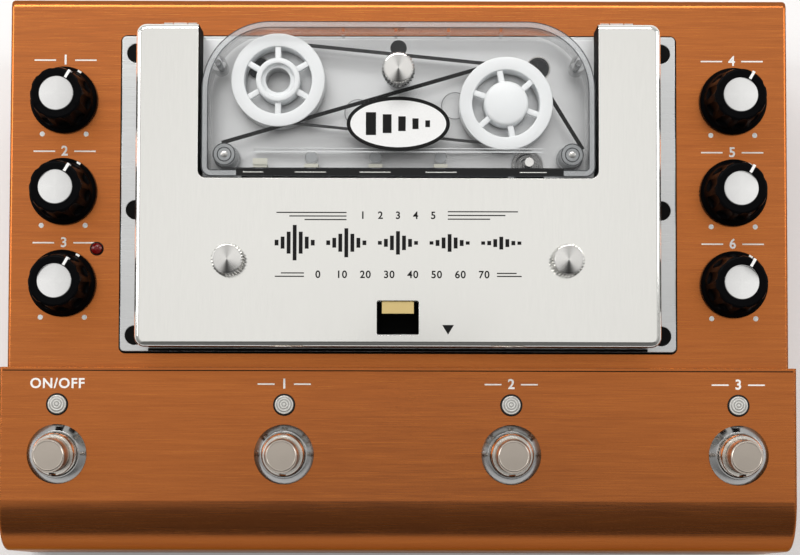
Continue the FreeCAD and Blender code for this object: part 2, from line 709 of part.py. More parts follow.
def side_edge(half, seam):
    """A test for the outside edges of a shell's sides, except at its open end and at its foot."""

    def chosen(edge):
        middle = edge.valueAt((edge.FirstParameter + edge.LastParameter) / 2)
        on_side = all(near(abs(end.X), half) for end in edge.Vertexes)
        at_foot = all(near(end.Z, S.foot_height) for end in edge.Vertexes)
        at_seam = all(near(end.Y, seam) for end in edge.Vertexes)
        return on_side and near(abs(middle.x), half) and not (at_foot or at_seam)

    return chosen


def deck_height(along):
    """Height of the rear deck's top surface above the floor, at a Y of the casing's frame."""
    return SEAM_Z + (along - SEAM_Y) * SLOPE_TANGENT


def front_height_at(along):
    return deck_height(along) + S.deck_step / SLOPE_COSINE


def sheet_rise():
    """Thickness of a sloping sheet, measured upright."""
    return S.sheet / SLOPE_COSINE


def lugs(piece, places):
    """Screw lugs on the side walls of a shell, standing on the base plate."""
    for wall, along in places:
        half = S.lug_side / 2
        boxes = both_sides(SCREW_ACROSS - half, wall + S.sheet / 2, along - half, along + half)
        piece.block(boxes, BASE_TOP, BASE_TOP + S.lug_height)
    spots = [(side * SCREW_ACROSS, along) for side in MIRROR for _, along in places]
    piece.hole(spots, S.screw_radius + S.screw_play, BASE_TOP, BASE_TOP + S.lug_height)


def make_front_shell():
    inner_front = FRONT_Y + S.sheet
    inner_rear = SEAM_Y - S.sheet
    shell = Piece("front_shell")
    outside = [
        (FRONT_Y, S.foot_height),
        (SEAM_Y, S.foot_height),
        (SEAM_Y, front_height_at(SEAM_Y)),
        (FRONT_Y, CORNER_Z),
    ]
    shell.pad(shell.outlines([outside], plane="YZ_Plane"), S.case_width, midplane=True)
    inner_corner = front_height_at(inner_front) - sheet_rise()
    inside = [
        (inner_front, 0),
        (inner_rear, 0),
        (inner_rear, front_height_at(inner_rear) - sheet_rise()),
        (inner_front, inner_corner),
    ]
    shell.pocket(shell.outlines([inside], plane="YZ_Plane"), FRONT_INSIDE * 2, midplane=True)
    passage_front = inner_rear - OPEN_END
    passage_rear = SEAM_Y + OPEN_END
    passage = [
        (passage_front, 0),
        (passage_rear, 0),
        (passage_rear, deck_height(passage_rear) + S.shell_gap),
        (passage_front, deck_height(passage_front) + S.shell_gap),
    ]
    shell.pocket(shell.outlines([passage], plane="YZ_Plane"), FRONT_INSIDE * 2, midplane=True)
    shell.fillet(S.front_bend - S.sheet, crosswise(inner_front, inner_corner))
    shell.fillet(S.front_bend, crosswise(FRONT_Y, CORNER_Z))
    shell.fillet(S.side_round, side_edge(S.case_width / 2, SEAM_Y))
    top = S.deck_step + OPEN_END
    shell.hole(PEDAL_SPOTS, S.bush_radius + S.run_gap, 0, top, on_deck=True)
    shell.hole(LAMP_SPOTS, S.lamp_radius + S.run_gap, size(1), top, on_deck=True)
    lugs(shell, LUG_PLACES[:2])


def make_rear_shell():
    lap_y = SEAM_Y - S.shell_lap
    inner_rear = REAR_Y - S.sheet
    shell = Piece("rear_shell")
    outside = [
        (lap_y, S.foot_height),
        (REAR_Y, S.foot_height),
        (REAR_Y, deck_height(REAR_Y)),
        (lap_y, deck_height(lap_y)),
    ]
    shell.pad(shell.outlines([outside], plane="YZ_Plane"), REAR_HALF * 2, midplane=True)
    open_y = lap_y - OPEN_END
    inner_corner = deck_height(inner_rear) - sheet_rise()
    inside = [
        (open_y, 0),
        (inner_rear, 0),
        (inner_rear, inner_corner),
        (open_y, deck_height(open_y) - sheet_rise()),
    ]
    shell.pocket(shell.outlines([inside], plane="YZ_Plane"), REAR_INSIDE * 2, midplane=True)
    shell.fillet(S.rear_bend - S.sheet, crosswise(inner_rear, inner_corner))
    shell.fillet(S.rear_bend, crosswise(REAR_Y, deck_height(REAR_Y)))
    shell.fillet(S.side_round, side_edge(REAR_HALF, lap_y))
    under = -S.sheet - OPEN_END
    shell.pocket(shell.rounded(*WELL, lift=OPEN_END, on_deck=True), OPEN_END - under)
    shell.hole(KNOB_SPOTS, S.control_bush + S.run_gap, under, OPEN_END, on_deck=True)
    shell.hole(GROMMET_SPOTS, S.grommet_neck + S.run_gap, under, OPEN_END, on_deck=True)
    signal = [(SIGNAL_ACROSS, S.signal_along)]
    shell.hole(signal, S.signal_radius + S.run_gap, under, OPEN_END, on_deck=True)
    rear = {"plane": "XZ_Plane", "lift": -REAR_Y}
    sockets = [(across, S.socket_height) for across, _ in SOCKET_SPOTS]
    through = S.sheet * 4
    shell.pocket(shell.circles(sockets, S.socket_bush + S.run_gap, **rear), through, midplane=True)
    inlet = [(S.power_across, S.socket_height)]
    shell.pocket(shell.circles(inlet, S.power_radius + S.run_gap, **rear), through, midplane=True)
    half_slot = S.slider_side / 2 + S.switch_travel + S.run_gap
    half_rise = S.slider_side / 2 + S.run_gap
    slot = rectangle(
        S.switch_across - half_slot,
        S.switch_across + half_slot,
        S.socket_height - half_rise,
        S.socket_height + half_rise,
    )
    shell.pocket(shell.outlines([slot], **rear), through, midplane=True)
    lugs(shell, LUG_PLACES[2:])


def make_base():
    base = Piece("base_plate")
    half = REAR_INSIDE - S.base_gap
    near_end = FRONT_Y + S.sheet + S.base_gap
    base.block([(-half, half, near_end, REAR_Y - S.sheet - S.base_gap)], S.foot_height, BASE_TOP)
    board_under = BASE_TOP + S.board_height
    base.disc(POST_SPOTS, S.post_radius, BASE_TOP, board_under)
    base.hole(FOOT_SPOTS, S.stem_radius + S.run_gap, S.foot_height, BASE_TOP)
    base.hole(SCREW_SPOTS, S.screw_radius + S.screw_play, S.foot_height, BASE_TOP)

    feet = Piece("rubber_feet")
    feet.disc(FOOT_SPOTS, S.foot_radius, 0, S.foot_height)
    feet.disc(FOOT_SPOTS, S.stem_radius, S.foot_height, BASE_TOP + S.run_gap)
    barb_top = BASE_TOP + S.base_sheet
    feet.disc(FOOT_SPOTS, S.stem_radius + S.sheet / 2, BASE_TOP + S.run_gap, barb_top)
    feet.chamfer(S.foot_height / 3, level_ring(0, S.foot_radius))

    screws = Piece("base_screws")
    screws.disc(SCREW_SPOTS, S.screw_head, S.foot_height - S.screw_head_height, S.foot_height)
    screws.disc(SCREW_SPOTS, S.screw_radius, S.foot_height, BASE_TOP + S.lug_height)
    screws.chamfer(S.screw_head_height / 3, level_ring(S.foot_height - S.screw_head_height, S.screw_head))

    board = Piece("circuit_boards")
    width = S.main_board_half
    board_top = board_under + S.board_sheet
    board.block([(-width, width, S.main_board_front, S.main_board_rear)], board_under, board_top)
    chip = 7.0
    chip_height = 2.0
    places = [width * share for share in (-0.7, -0.3, 0.15, 0.6)]
    chips = [(place - chip, place + chip, -chip, chip) for place in places]
    board.block(chips, board_top, board_top + chip_height)
    can = 3.2
    can_height = 7.0
    cans = [(width * share, S.main_board_rear - chip) for share in (-0.6, -0.4, 0.4, 0.6)]
    board.disc(cans, can, board_top, board_top + can_height)
    half = S.case_width / 2 - KNOB_ACROSS - S.board_inset
    rear = S.knob_front + 2 * S.knob_pitch + S.board_run_on
    strips = both_sides(KNOB_ACROSS - half, KNOB_ACROSS + half, S.knob_front - S.board_run_on, rear)
    board.block(strips, BOARD_TOP - S.board_sheet, BOARD_TOP, on_deck=True)


def make_rear_fittings():
    sockets = Piece("audio_sockets", rear_place)
    body = S.socket_body
    boxes = [(across - body, across + body, -body, body) for across, _ in SOCKET_SPOTS]
    sockets.block(boxes, -(S.sheet + S.socket_length), -S.sheet)
    sockets.disc(SOCKET_SPOTS, S.socket_bush, -S.sheet, S.socket_proud)
    sockets.hole(SOCKET_SPOTS, S.socket_bore, -(S.sheet + S.socket_length - 2 * S.sheet), S.socket_proud)

    nuts = Piece("socket_nuts", rear_place)
    loops = [hexagon(across, along, S.nut_flats) for across, along in SOCKET_SPOTS]
    nuts.pad(nuts.outlines(loops), S.nut_height)
    nuts.hole(SOCKET_SPOTS, S.socket_bush + S.run_gap, 0, S.nut_height)

    spot = [(S.power_across, size(0))]
    inlet = Piece("power_inlet", rear_place)
    half = S.power_flange
    body = (S.power_across - half, S.power_across + half, -half, half)
    inlet.block([body], -(S.sheet + S.power_length), -S.sheet)
    inlet.disc(spot, S.power_radius, -S.sheet, 0)
    inlet.disc(spot, S.power_flange, 0, S.sheet)
    inlet.hole(spot, S.power_bore, -(S.power_length - S.sheet), S.sheet)
    inlet.disc(spot, S.power_pin, -S.power_length, -S.sheet)

    switch = Piece("bypass_switch", rear_place)
    length = S.switch_length / 2
    half = S.switch_height / 2
    depth = S.switch_height
    box = (S.switch_across - length, S.switch_across + length, -half, half)
    switch.block([box], -(S.sheet + depth), -S.sheet)
    tab = S.slider_side / 2
    groove = tab + S.switch_travel + S.run_gap
    trough = (S.switch_across - groove, S.switch_across + groove, -(tab + S.run_gap), tab + S.run_gap)
    switch.slot([trough], -(S.sheet + depth / 2), -S.sheet)

    slider = Piece("bypass_slider", rear_place)
    tab_box = (S.switch_across - tab, S.switch_across + tab, -tab, tab)
    slider.block([tab_box], -(S.sheet + depth / 2) + S.run_gap, S.slider_proud)


def make_pedals():
    deck = S.deck_step
    under = FRONT_UNDER
    bodies = Piece("pedal_switches", deck_place)
    half = S.pedal_body
    boxes = [(across - half, across + half, along - half, along + half) for across, along in PEDAL_SPOTS]
    bodies.block(boxes, under - S.pedal_body_height, under)
    bodies.disc(PEDAL_SPOTS, S.bush_radius, under, deck + S.bush_height)
    bodies.hole(PEDAL_SPOTS, S.bush_bore, deck - S.bush_depth, deck + S.bush_height)
    key = S.key_width / 2
    notches = []
    for across, along in PEDAL_SPOTS:
        front = along - S.bush_radius
        notches.append((across - key, across + key, front - S.key_depth, front + S.key_depth))
    bodies.slot(notches, deck, deck + S.bush_height)

    bezels = Piece("pedal_bezels", deck_place)
    sketch = bezels.circles(PEDAL_SPOTS, S.bezel_radius, lift=deck)
    lean = -slant(S.bezel_radius - S.bezel_top, S.bezel_height)
    bezels.pad(sketch, S.bezel_height, taper=lean)
    bezels.hole(PEDAL_SPOTS, S.bezel_bore, deck, deck + S.bezel_height)

    for row, (across, along) in enumerate(PEDAL_SPOTS, start=1):
        button = Piece(f"pedal_button_{row}", deck_place, across=across, along=along)
        middle = [(0, 0)]
        low = deck - S.bush_depth + S.button_travel + S.button_edge
        top = deck + S.button_height
        button.disc(middle, S.button_radius, low, top)
        button.chamfer(S.button_edge, level_ring(top, S.button_radius))

    lamps = Piece("status_lamps", deck_place)
    top = deck + S.lamp_proud
    lamps.disc(LAMP_SPOTS, S.lamp_radius, deck - S.lamp_depth, top)
    lamps.fillet(S.lamp_proud / 2, level_ring(top, S.lamp_radius))

    signal = Piece("signal_lamp", deck_place, across=SIGNAL_ACROSS, along=S.signal_along)
    signal.disc([(0, 0)], S.signal_radius, -S.lamp_depth, S.lamp_proud)
    signal.fillet(S.lamp_proud / 2, level_ring(S.lamp_proud, S.signal_radius))


def make_knobs():
    names = [f"knob_{side}_{row}" for side in ("left", "right") for row in ("rear", "middle", "front")]
    for name, (across, along) in zip(names, KNOB_SPOTS):
        knob = Piece(name, deck_place, across=across, along=along)
        middle = [(0, 0)]
        knob.disc(middle, S.knob_radius, S.skirt_top, S.knob_top)
        sketch = knob.circles([(0, S.knob_radius + S.flute_radius / 2)], S.flute_radius, lift=S.knob_top)
        knob.pocket(sketch, S.knob_top - S.skirt_top)
        knob.repeat(sketch, S.flute_count)
        knob.disc(middle, S.knob_skirt, S.knob_base, S.skirt_top)
        knob.fillet((S.skirt_top - S.knob_base) / 2, level_ring(S.skirt_top, S.knob_skirt))
        knob.hole(middle, S.cap_radius, S.knob_top - S.cap_recess, S.knob_top)
        knob.hole(middle, S.knob_hollow, S.knob_base, S.hollow_top)
        knob.disc(middle, S.shaft_radius, -(S.sheet + S.control_height / 2), S.hollow_top)

    controls = Piece("potentiometers", deck_place)
    controls.disc(KNOB_SPOTS, S.control_radius, BOARD_TOP, -S.sheet)
    controls.disc(KNOB_SPOTS, S.control_bush, -S.sheet, S.control_nut_height)
    loops = [hexagon(across, along, 2 * S.control_nut) for across, along in KNOB_SPOTS]
    controls.pad(controls.outlines(loops), S.control_nut_height)
    floor = -(S.sheet + S.control_height / 2) - S.run_gap
    controls.hole(KNOB_SPOTS, S.shaft_radius + S.run_gap, floor, S.control_nut_height)


def make_plate():
    rim = S.gasket_rim
    half = PLATE_HALF
    gasket = Piece("deck_gasket", deck_place)
    corners = [S.plate_corner + rim] * 4
    outline = gasket.rounded(-(half + rim), half + rim, S.plate_front - rim, S.plate_rear + rim, corners)
    gasket.pad(outline, S.gasket_sheet)
    gasket.pocket(gasket.rounded(*WELL, lift=S.gasket_sheet), S.gasket_sheet)
    gasket.hole(GROMMET_SPOTS, S.grommet_neck + S.run_gap, 0, S.gasket_sheet)

    plate = Piece("deck_plate", deck_place)
    corners = [S.plate_corner] * 4
    outline = plate.rounded(-half, half, S.plate_front, S.plate_rear, corners, lift=S.gasket_sheet)
    plate.pad(outline, S.plate_sheet)
    inner = S.hinge_half + S.hinge_gap
    outer = inner + S.hinge_ear
    for side in MIRROR:
        for low, high in ((inner, outer), (-outer, -inner)):
            left = side * HINGE_ACROSS + low
            right = side * HINGE_ACROSS + high
            knuckle(plate, left, right, S.plate_rear - S.sheet, S.gasket_sheet, PLATE_TOP)
    plate.pocket(plate.rounded(*WELL, lift=PLATE_TOP), S.plate_sheet)
    plate.hole(GROMMET_SPOTS, S.grommet_radius + S.run_gap, S.gasket_sheet, PLATE_TOP)
    bore_hinge(plate, 2 * outer)

    grommets = Piece("deck_grommets", deck_place)
    grommets.disc(GROMMET_SPOTS, S.grommet_radius, S.gasket_sheet, PLATE_TOP + S.grommet_proud)
    grommets.disc(GROMMET_SPOTS, S.grommet_neck, -S.sheet, S.gasket_sheet)
    grommets.disc(GROMMET_SPOTS, S.grommet_radius, -2 * S.sheet, -S.sheet)

    pins = Piece("hinge_pins", deck_place)
    for side in MIRROR:
        where = {"plane": "YZ_Plane"}
        axis = [(S.hinge_along, S.hinge_level)]
        left = side * HINGE_ACROSS - outer
        pins.pad(pins.circles(axis, S.hinge_pin, lift=left, **where), 2 * outer)
        head = left - S.hinge_head_width
        pins.pad(pins.circles(axis, S.hinge_head, lift=head, **where), S.hinge_head_width)


def knuckle(piece, left, right, start, low, high):
    """A hinge knuckle between two planes, with the ear that joins it to a sheet."""
    width = right - left
    where = {"plane": "YZ_Plane", "lift": left}
    ear = rectangle(start, S.hinge_along, low, high)
    piece.pad(piece.outlines([ear], **where), width)
    piece.pad(piece.circles([(S.hinge_along, S.hinge_level)], S.hinge_radius, **where), width)


def bore_hinge(piece, width):
    """Bore the knuckles on both sides for their pins."""
    for side in MIRROR:
        where = {"plane": "YZ_Plane", "lift": side * HINGE_ACROSS}
        axis = [(S.hinge_along, S.hinge_level)]
        piece.pocket(piece.circles(axis, S.hinge_pin + S.run_gap, **where), width, midplane=True)


def make_tray():
    tray = Piece("deck_tray", deck_place)
    corners = [S.tray_corner] * 4
    half = TRAY_HALF
    outline = tray.rounded(-half, half, S.tray_front, S.tray_rear, corners, lift=S.tray_level)
    tray.pad(outline, S.tray_sheet)
    for side in MIRROR:
        left = side * HINGE_ACROSS - S.hinge_half
        right = side * HINGE_ACROSS + S.hinge_half
        knuckle(tray, left, right, S.tray_rear - S.sheet, S.tray_level, S.hinge_level + S.hinge_radius)
    bore_hinge(tray, 2 * S.hinge_half)
    tray.hole([CAPSTAN_SPOT], S.barrel_radius + S.run_gap, S.tray_level, TRAY_TOP)
    tray.hole(EYE_SPOTS, S.eye_radius, S.tray_level, TRAY_TOP)
    inside = S.latch_half + S.hinge_gap
    outside = inside + S.bracket_sheet
    pivot = S.latch_front + S.latch_sheet / 2
    near_end = S.latch_front - S.latch_sheet
    stop = S.latch_front + S.latch_sheet + S.spring_length + S.run_gap
    tray.slot([(-inside, inside, near_end, stop - S.latch_sheet)], S.tray_level, TRAY_TOP)
    ears = both_sides(inside, outside, pivot - S.bracket_half, pivot + S.bracket_half)
    tray.block(ears, TRAY_TOP, S.latch_pivot_level + S.bracket_half)
    axis = tray.circles([(pivot, S.latch_pivot_level)], S.pivot_radius + S.run_gap, plane="YZ_Plane")
    tray.pocket(axis, 2 * outside, midplane=True)
    rest = S.spring_radius + S.latch_sheet
    tray.block([(-rest, rest, stop, stop + S.bracket_sheet)], S.spring_level - rest, TRAY_TOP)
    tray.disc([ARM_SPOT], S.arm_half, TRAY_TOP, S.arm_low - S.hinge_gap / 2)
    tray.disc([ARM_SPOT], S.arm_pin, TRAY_TOP, S.arm_low + 2 * S.arm_sheet)

    posts = Piece("thumbscrew_posts", deck_place)
    cover_post_top = COVER_SEAT - S.run_gap
    posts.disc(COVER_SCREW_SPOTS, S.thumb_post, TRAY_TOP, cover_post_top)
    centre_post_top = S.cartridge_split + S.cartridge_wall
    posts.disc([CENTRE_SPOT], S.thumb_post, TRAY_TOP, centre_post_top)
    posts.hole([*COVER_SCREW_SPOTS, CENTRE_SPOT], S.thumb_shank + S.run_gap, TRAY_TOP, cover_post_top)


def make_latch():
    keeper = Piece("latch_keeper", deck_place)
    keeper_rear = S.latch_front - S.latch_clear
    keeper_box = (-S.latch_half, S.latch_half, keeper_rear - S.keeper_length, keeper_rear)
    keeper.block([keeper_box], -(S.sheet + S.keeper_sheet), -S.sheet)

    latch = Piece("release_latch", deck_place)
    stem_rear = S.latch_front + S.latch_sheet
    hook_front = S.well_front + S.latch_clear
    hook_top = -(S.sheet + S.keeper_sheet + S.latch_play)
    hook_low = hook_top - S.latch_sheet
    tab_low = S.latch_tab_level - S.latch_sheet
    profile = [
        (hook_front, hook_low),
        (stem_rear, hook_low),
        (stem_rear, S.latch_tab_level),
        (S.latch_tab, S.latch_tab_level),
        (S.latch_tab, tab_low),
        (S.latch_front, tab_low),
        (S.latch_front, hook_top),
        (hook_front, hook_top),
    ]
    latch.pad(latch.outlines([profile], plane="YZ_Plane"), 2 * S.latch_half, midplane=True)
    pivot = [(S.latch_front + S.latch_sheet / 2, S.latch_pivot_level)]
    reach = 2 * (S.latch_half + S.hinge_gap + S.bracket_sheet)
    latch.pad(latch.circles(pivot, S.pivot_radius, plane="YZ_Plane"), reach, midplane=True)

    helix = DOC.addObject("Part::Helix", "spring_helix")
    bind(helix, "Radius", S.spring_radius)
    bind(helix, "Height", S.spring_length - 2 * S.spring_wire)
    bind(helix, "Pitch", (S.spring_length - 2 * S.spring_wire) / S.spring_turns)
    wire = DOC.addObject("Part::Circle", "spring_wire_section")
    upright = FreeCAD.Rotation(FreeCAD.Vector(1, 0, 0), SQUARE_TURN)
    wire.Placement = FreeCAD.Placement(FreeCAD.Vector(S.spring_radius.number, 0, 0), upright)
    bind(wire, "Placement.Base.x", S.spring_radius)
    bind(wire, "Radius", S.spring_wire)
    spring = DOC.addObject("Part::Sweep", "latch_spring")
    spring.Label = "latch_spring"
    spring.Sections = [wire]
    spring.Spine = (helix, [])
    spring.Solid = True
    spring.Frenet = True
    start = stem_rear + S.run_gap + S.spring_wire
    deck_place(spring, along=start, lift=S.spring_level, turn=-SQUARE_TURN)
    PIECES.append(spring)


def make_cover():
    cover = Piece("top_cover", deck_place)
    half = COVER_HALF
    wall = S.cover_sheet
    low = S.cover_level
    top = S.cover_top
    outline = cover.rounded(-half, half, S.cover_front, S.cover_rear, [S.cover_corner] * 4, lift=low)
    cover.pad(outline, top - low)
    inside = half - wall
    corners = [S.cover_corner - wall] * 4
    cavity = cover.rounded(
        -inside, inside, S.cover_front + wall, S.cover_rear - wall, corners, lift=COVER_SEAT
    )
    cover.pocket(cavity, COVER_SEAT - low)
    arm_walls = both_sides(S.bay_half, S.bay_half + wall, S.bay_front, S.cover_rear - wall / 2)
    cover.block(arm_walls, TRAY_TOP + S.hinge_gap, COVER_SEAT + wall / 2)
    far = S.cover_rear + OPEN_END
    bay = cover.rounded(-S.bay_half, S.bay_half, S.bay_front, far, [S.bay_corner] * 4, lift=top)
    cover.pocket(bay, top)
    window_corner = wall / 2
    window = cover.rounded(
        -S.window_half, S.window_half, S.window_front, S.window_rear, [window_corner] * 4, lift=top
    )
    cover.pocket(window, 2 * wall)
    cover.hole(COVER_SCREW_SPOTS, S.thumb_shank + S.thumb_play, COVER_SEAT, top)
    reach = S.hinge_half + 2 * S.hinge_gap
    notches = both_sides(HINGE_ACROSS - reach, HINGE_ACROSS + reach, S.cover_rear - 2 * wall, far)
    cover.slot(notches, low, S.hinge_level + S.hinge_radius + 2 * S.hinge_gap)

    def outer_rim(edge):
        ends = [vertex.Point for vertex in edge.Vertexes]
        return all(
            near(end.z, top)
            and (near(abs(end.x), half) or near(end.y, S.cover_front) or near(end.y, S.cover_rear))
            for end in ends
        )

    cover.fillet(S.cover_bend, outer_rim)

    for side, spot in zip(("left", "right"), COVER_SCREW_SPOTS):
        thumbscrew(f"cover_screw_{side}", spot, S.cover_top)
    thumbscrew("cartridge_thumbscrew", CENTRE_SPOT, S.cartridge_top)


def thumbscrew(name, spot, seat):
    """A knurled screw that stands on a seat; its knurling is left to the finish."""
    screw = Piece(name, deck_place, across=spot[0], along=spot[1])
    low = seat + S.thumb_lift
    top = low + S.thumb_height
    screw.disc([(0, 0)], S.thumb_radius, low, top)
    screw.disc([(0, 0)], S.thumb_shank, seat - S.thumb_reach, low)
    screw.chamfer(S.thumb_edge, level_ring(top, S.thumb_radius))


def cartridge_outline(piece, inset, lift):
    """The cartridge's outline, moved inwards by a wall or not at all."""
    side = S.cartridge_half - inset
    near_side = S.cartridge_front + inset
    far_side = S.cartridge_rear - inset
    radii = [S.front_round - inset] * 2 + [S.rear_round - inset] * 2
    return piece.rounded(-side, side, near_side, far_side, radii, lift=lift)


def make_cartridge():
    wall = S.cartridge_wall
    base = Piece("cartridge_base", deck_place)
    low = S.cartridge_level
    split = S.cartridge_split
    base.pad(cartridge_outline(base, size(0), low), split - low)
    base.pocket(cartridge_outline(base, wall, split), split - FLOOR_TOP)
    mouth = (-S.mouth_half, S.mouth_half, S.cartridge_front - OPEN_END, S.mouth_rear)
    base.slot([mouth], low, split)
    base.disc(BOSS_SPOTS, S.boss_radius, FLOOR_TOP, split)
    base.hole(BOSS_SPOTS, S.tiny_shank, FLOOR_TOP, split)
    base.hole([CENTRE_SPOT], S.thumb_post + S.thumb_play, low, FLOOR_TOP)
    base.hole([CAPSTAN_SPOT], S.collar_radius + S.thumb_play, low, FLOOR_TOP)
    left_reel, right_reel = REEL_SPOTS
    post = S.reel_bore - S.run_gap
    base.disc([left_reel], post, FLOOR_TOP, S.hub_top + S.thumb_play)
    base.disc([right_reel], post, FLOOR_TOP, S.reel_top - wall)
    base.disc(ROLLER_SPOTS, S.roller_pin, FLOOR_TOP, S.roller_top - wall)
    base.disc(PEG_SPOTS, S.peg_radius, FLOOR_TOP, TAPE_TOP)
    rib_left = S.erase_across - S.erase_half / 2
    rib_right = S.reel_right_across - S.reel_radius / 2
    ribs = [(rib_left, rib_right, S.rib_low, S.rib_low + S.rib_thick)]
    base.block(ribs, FLOOR_TOP, FLOOR_TOP + S.rib_height)

    lid = Piece("cartridge_lid", deck_place)
    top = S.cartridge_top
    lid.pad(cartridge_outline(lid, size(0), split), top - split)
    lid.pocket(cartridge_outline(lid, wall, LID_UNDER), LID_UNDER - split)
    lid.slot([mouth], split, LID_UNDER)
    tube_low = split + wall + 2 * S.run_gap
    lid.disc([CENTRE_SPOT], S.centre_tube, tube_low, LID_UNDER)
    lid.disc(BOSS_SPOTS, S.boss_radius, split, LID_UNDER)
    lid.hole([CENTRE_SPOT], S.thumb_shank + S.thumb_play, tube_low, top)
    lid.hole(BOSS_SPOTS, S.tiny_shank + S.run_gap, split, top)
    stub_places = [S.stub_first + turn * S.stub_pitch for turn in range(4)]
    stub_far = S.cartridge_rear - wall / 2
    stub_near = stub_far - S.rib_height
    half = S.rib_thick / 2
    stubs = [(place - half, place + half, stub_near, stub_far) for place in stub_places]
    lid.block(stubs, split, LID_UNDER)

    screws = Piece("cartridge_screws", deck_place)
    head_top = top + S.flange_sheet
    screws.disc(BOSS_SPOTS, S.tiny_head, top, head_top)
    screws.disc(BOSS_SPOTS, S.tiny_shank, FLOOR_TOP, top)
    screws.fillet(S.flange_sheet / 2, level_ring(head_top, S.tiny_head))

    pads = Piece("pressure_pads", deck_place)
    far_side = PAD_ALONG + S.pad_thick
    boxes = [(place - S.pad_half, place + S.pad_half, PAD_ALONG, far_side) for place in PAD_PLACES]
    pads.block(boxes, FLOOR_TOP + 2 * S.run_gap, TAPE_TOP)


def make_reel(name, spot, closed, turn):
    """A reel with six spokes; the right one has a closed hub."""
    reel = Piece(name, deck_place, across=spot[0], along=spot[1])
    middle = [(0, 0)]
    low = S.reel_low
    reel.disc(middle, S.reel_radius, low, low + S.flange_sheet)
    reel.disc(middle, S.reel_drum, low + S.flange_sheet, S.reel_top)
    reel.disc(middle, S.reel_radius, S.reel_top - S.flange_sheet, S.reel_top)
    reel.hole(middle, S.reel_window, low, S.reel_top)
    rim = (S.reel_window + S.reel_drum) / 2
    spoke_low = S.reel_top - 3 * S.flange_sheet
    half = S.spoke_width / 2
    spoke = rectangle(-half, half, S.reel_bore + half, rim)
    sketch = reel.outlines([spoke], lift=spoke_low, turn=turn)
    reel.pad(sketch, S.reel_top - spoke_low - S.flange_sheet / 2)
    reel.repeat(sketch, size(HEXAGON))
    reel.disc(middle, S.reel_hub, low, S.hub_top)
    if closed:
        reel.hole(middle, S.reel_bore, low, S.reel_top - S.cartridge_wall + S.run_gap)
        reel.fillet(S.flange_sheet / 2, level_ring(S.hub_top, S.reel_hub))
    else:
        reel.hole(middle, S.reel_bore, low, S.hub_top)
        reel.hole(middle, S.reel_recess, S.reel_top - S.flange_sheet, S.hub_top)


def make_tape_path():
    make_reel("reel_left", REEL_SPOTS[0], False, size(0))
    make_reel("reel_right", REEL_SPOTS[1], True, S.reel_turn)
    for side, spot in zip(("left", "right"), ROLLER_SPOTS):
        roller = Piece(f"guide_roller_{side}", deck_place, across=spot[0], along=spot[1])
        middle = [(0, 0)]
        flange = S.flange_sheet
        roller.disc(middle, S.roller_flange, S.roller_low, S.roller_low + flange)
        roller.disc(middle, S.roller_radius, S.roller_low + flange, S.roller_top)
        roller.disc(middle, S.roller_cap, S.roller_top, S.roller_top + flange)
        bore_top = S.roller_top - S.cartridge_wall + S.run_gap
        roller.hole(middle, S.roller_pin + S.run_gap, S.roller_low, bore_top)


def head(piece, place, half):
    """A tape head: a block with a rounded nose that almost meets the tape."""
    nose_y = S.tape_line - S.head_gap - S.head_nose
    piece.block([(place - half, place + half, S.head_rear, nose_y)], BLOCK_TOP, S.head_top)
    piece.block([(place - S.head_nose, place + S.head_nose, S.head_rear, nose_y)], BLOCK_TOP, S.head_top)
    piece.disc([(place, nose_y)], S.head_nose, BLOCK_TOP, S.head_top)


def make_heads():
    block = Piece("head_block", deck_place)
    half = S.block_half
    far = CAPSTAN_SPOT[0] - S.pinch_radius - 3 * S.hinge_gap
    block.block([(-half, far, S.block_front, S.block_rear)], TRAY_TOP, BLOCK_TOP)
    erase = Piece("erase_head", deck_place)
    head(erase, S.erase_across, S.erase_half)
    record = Piece("record_head", deck_place)
    head(record, S.record_across, S.head_half)
    play = Piece("playback_heads", deck_place)
    for place in (S.play_first, S.play_second):
        head(play, place, S.head_half)


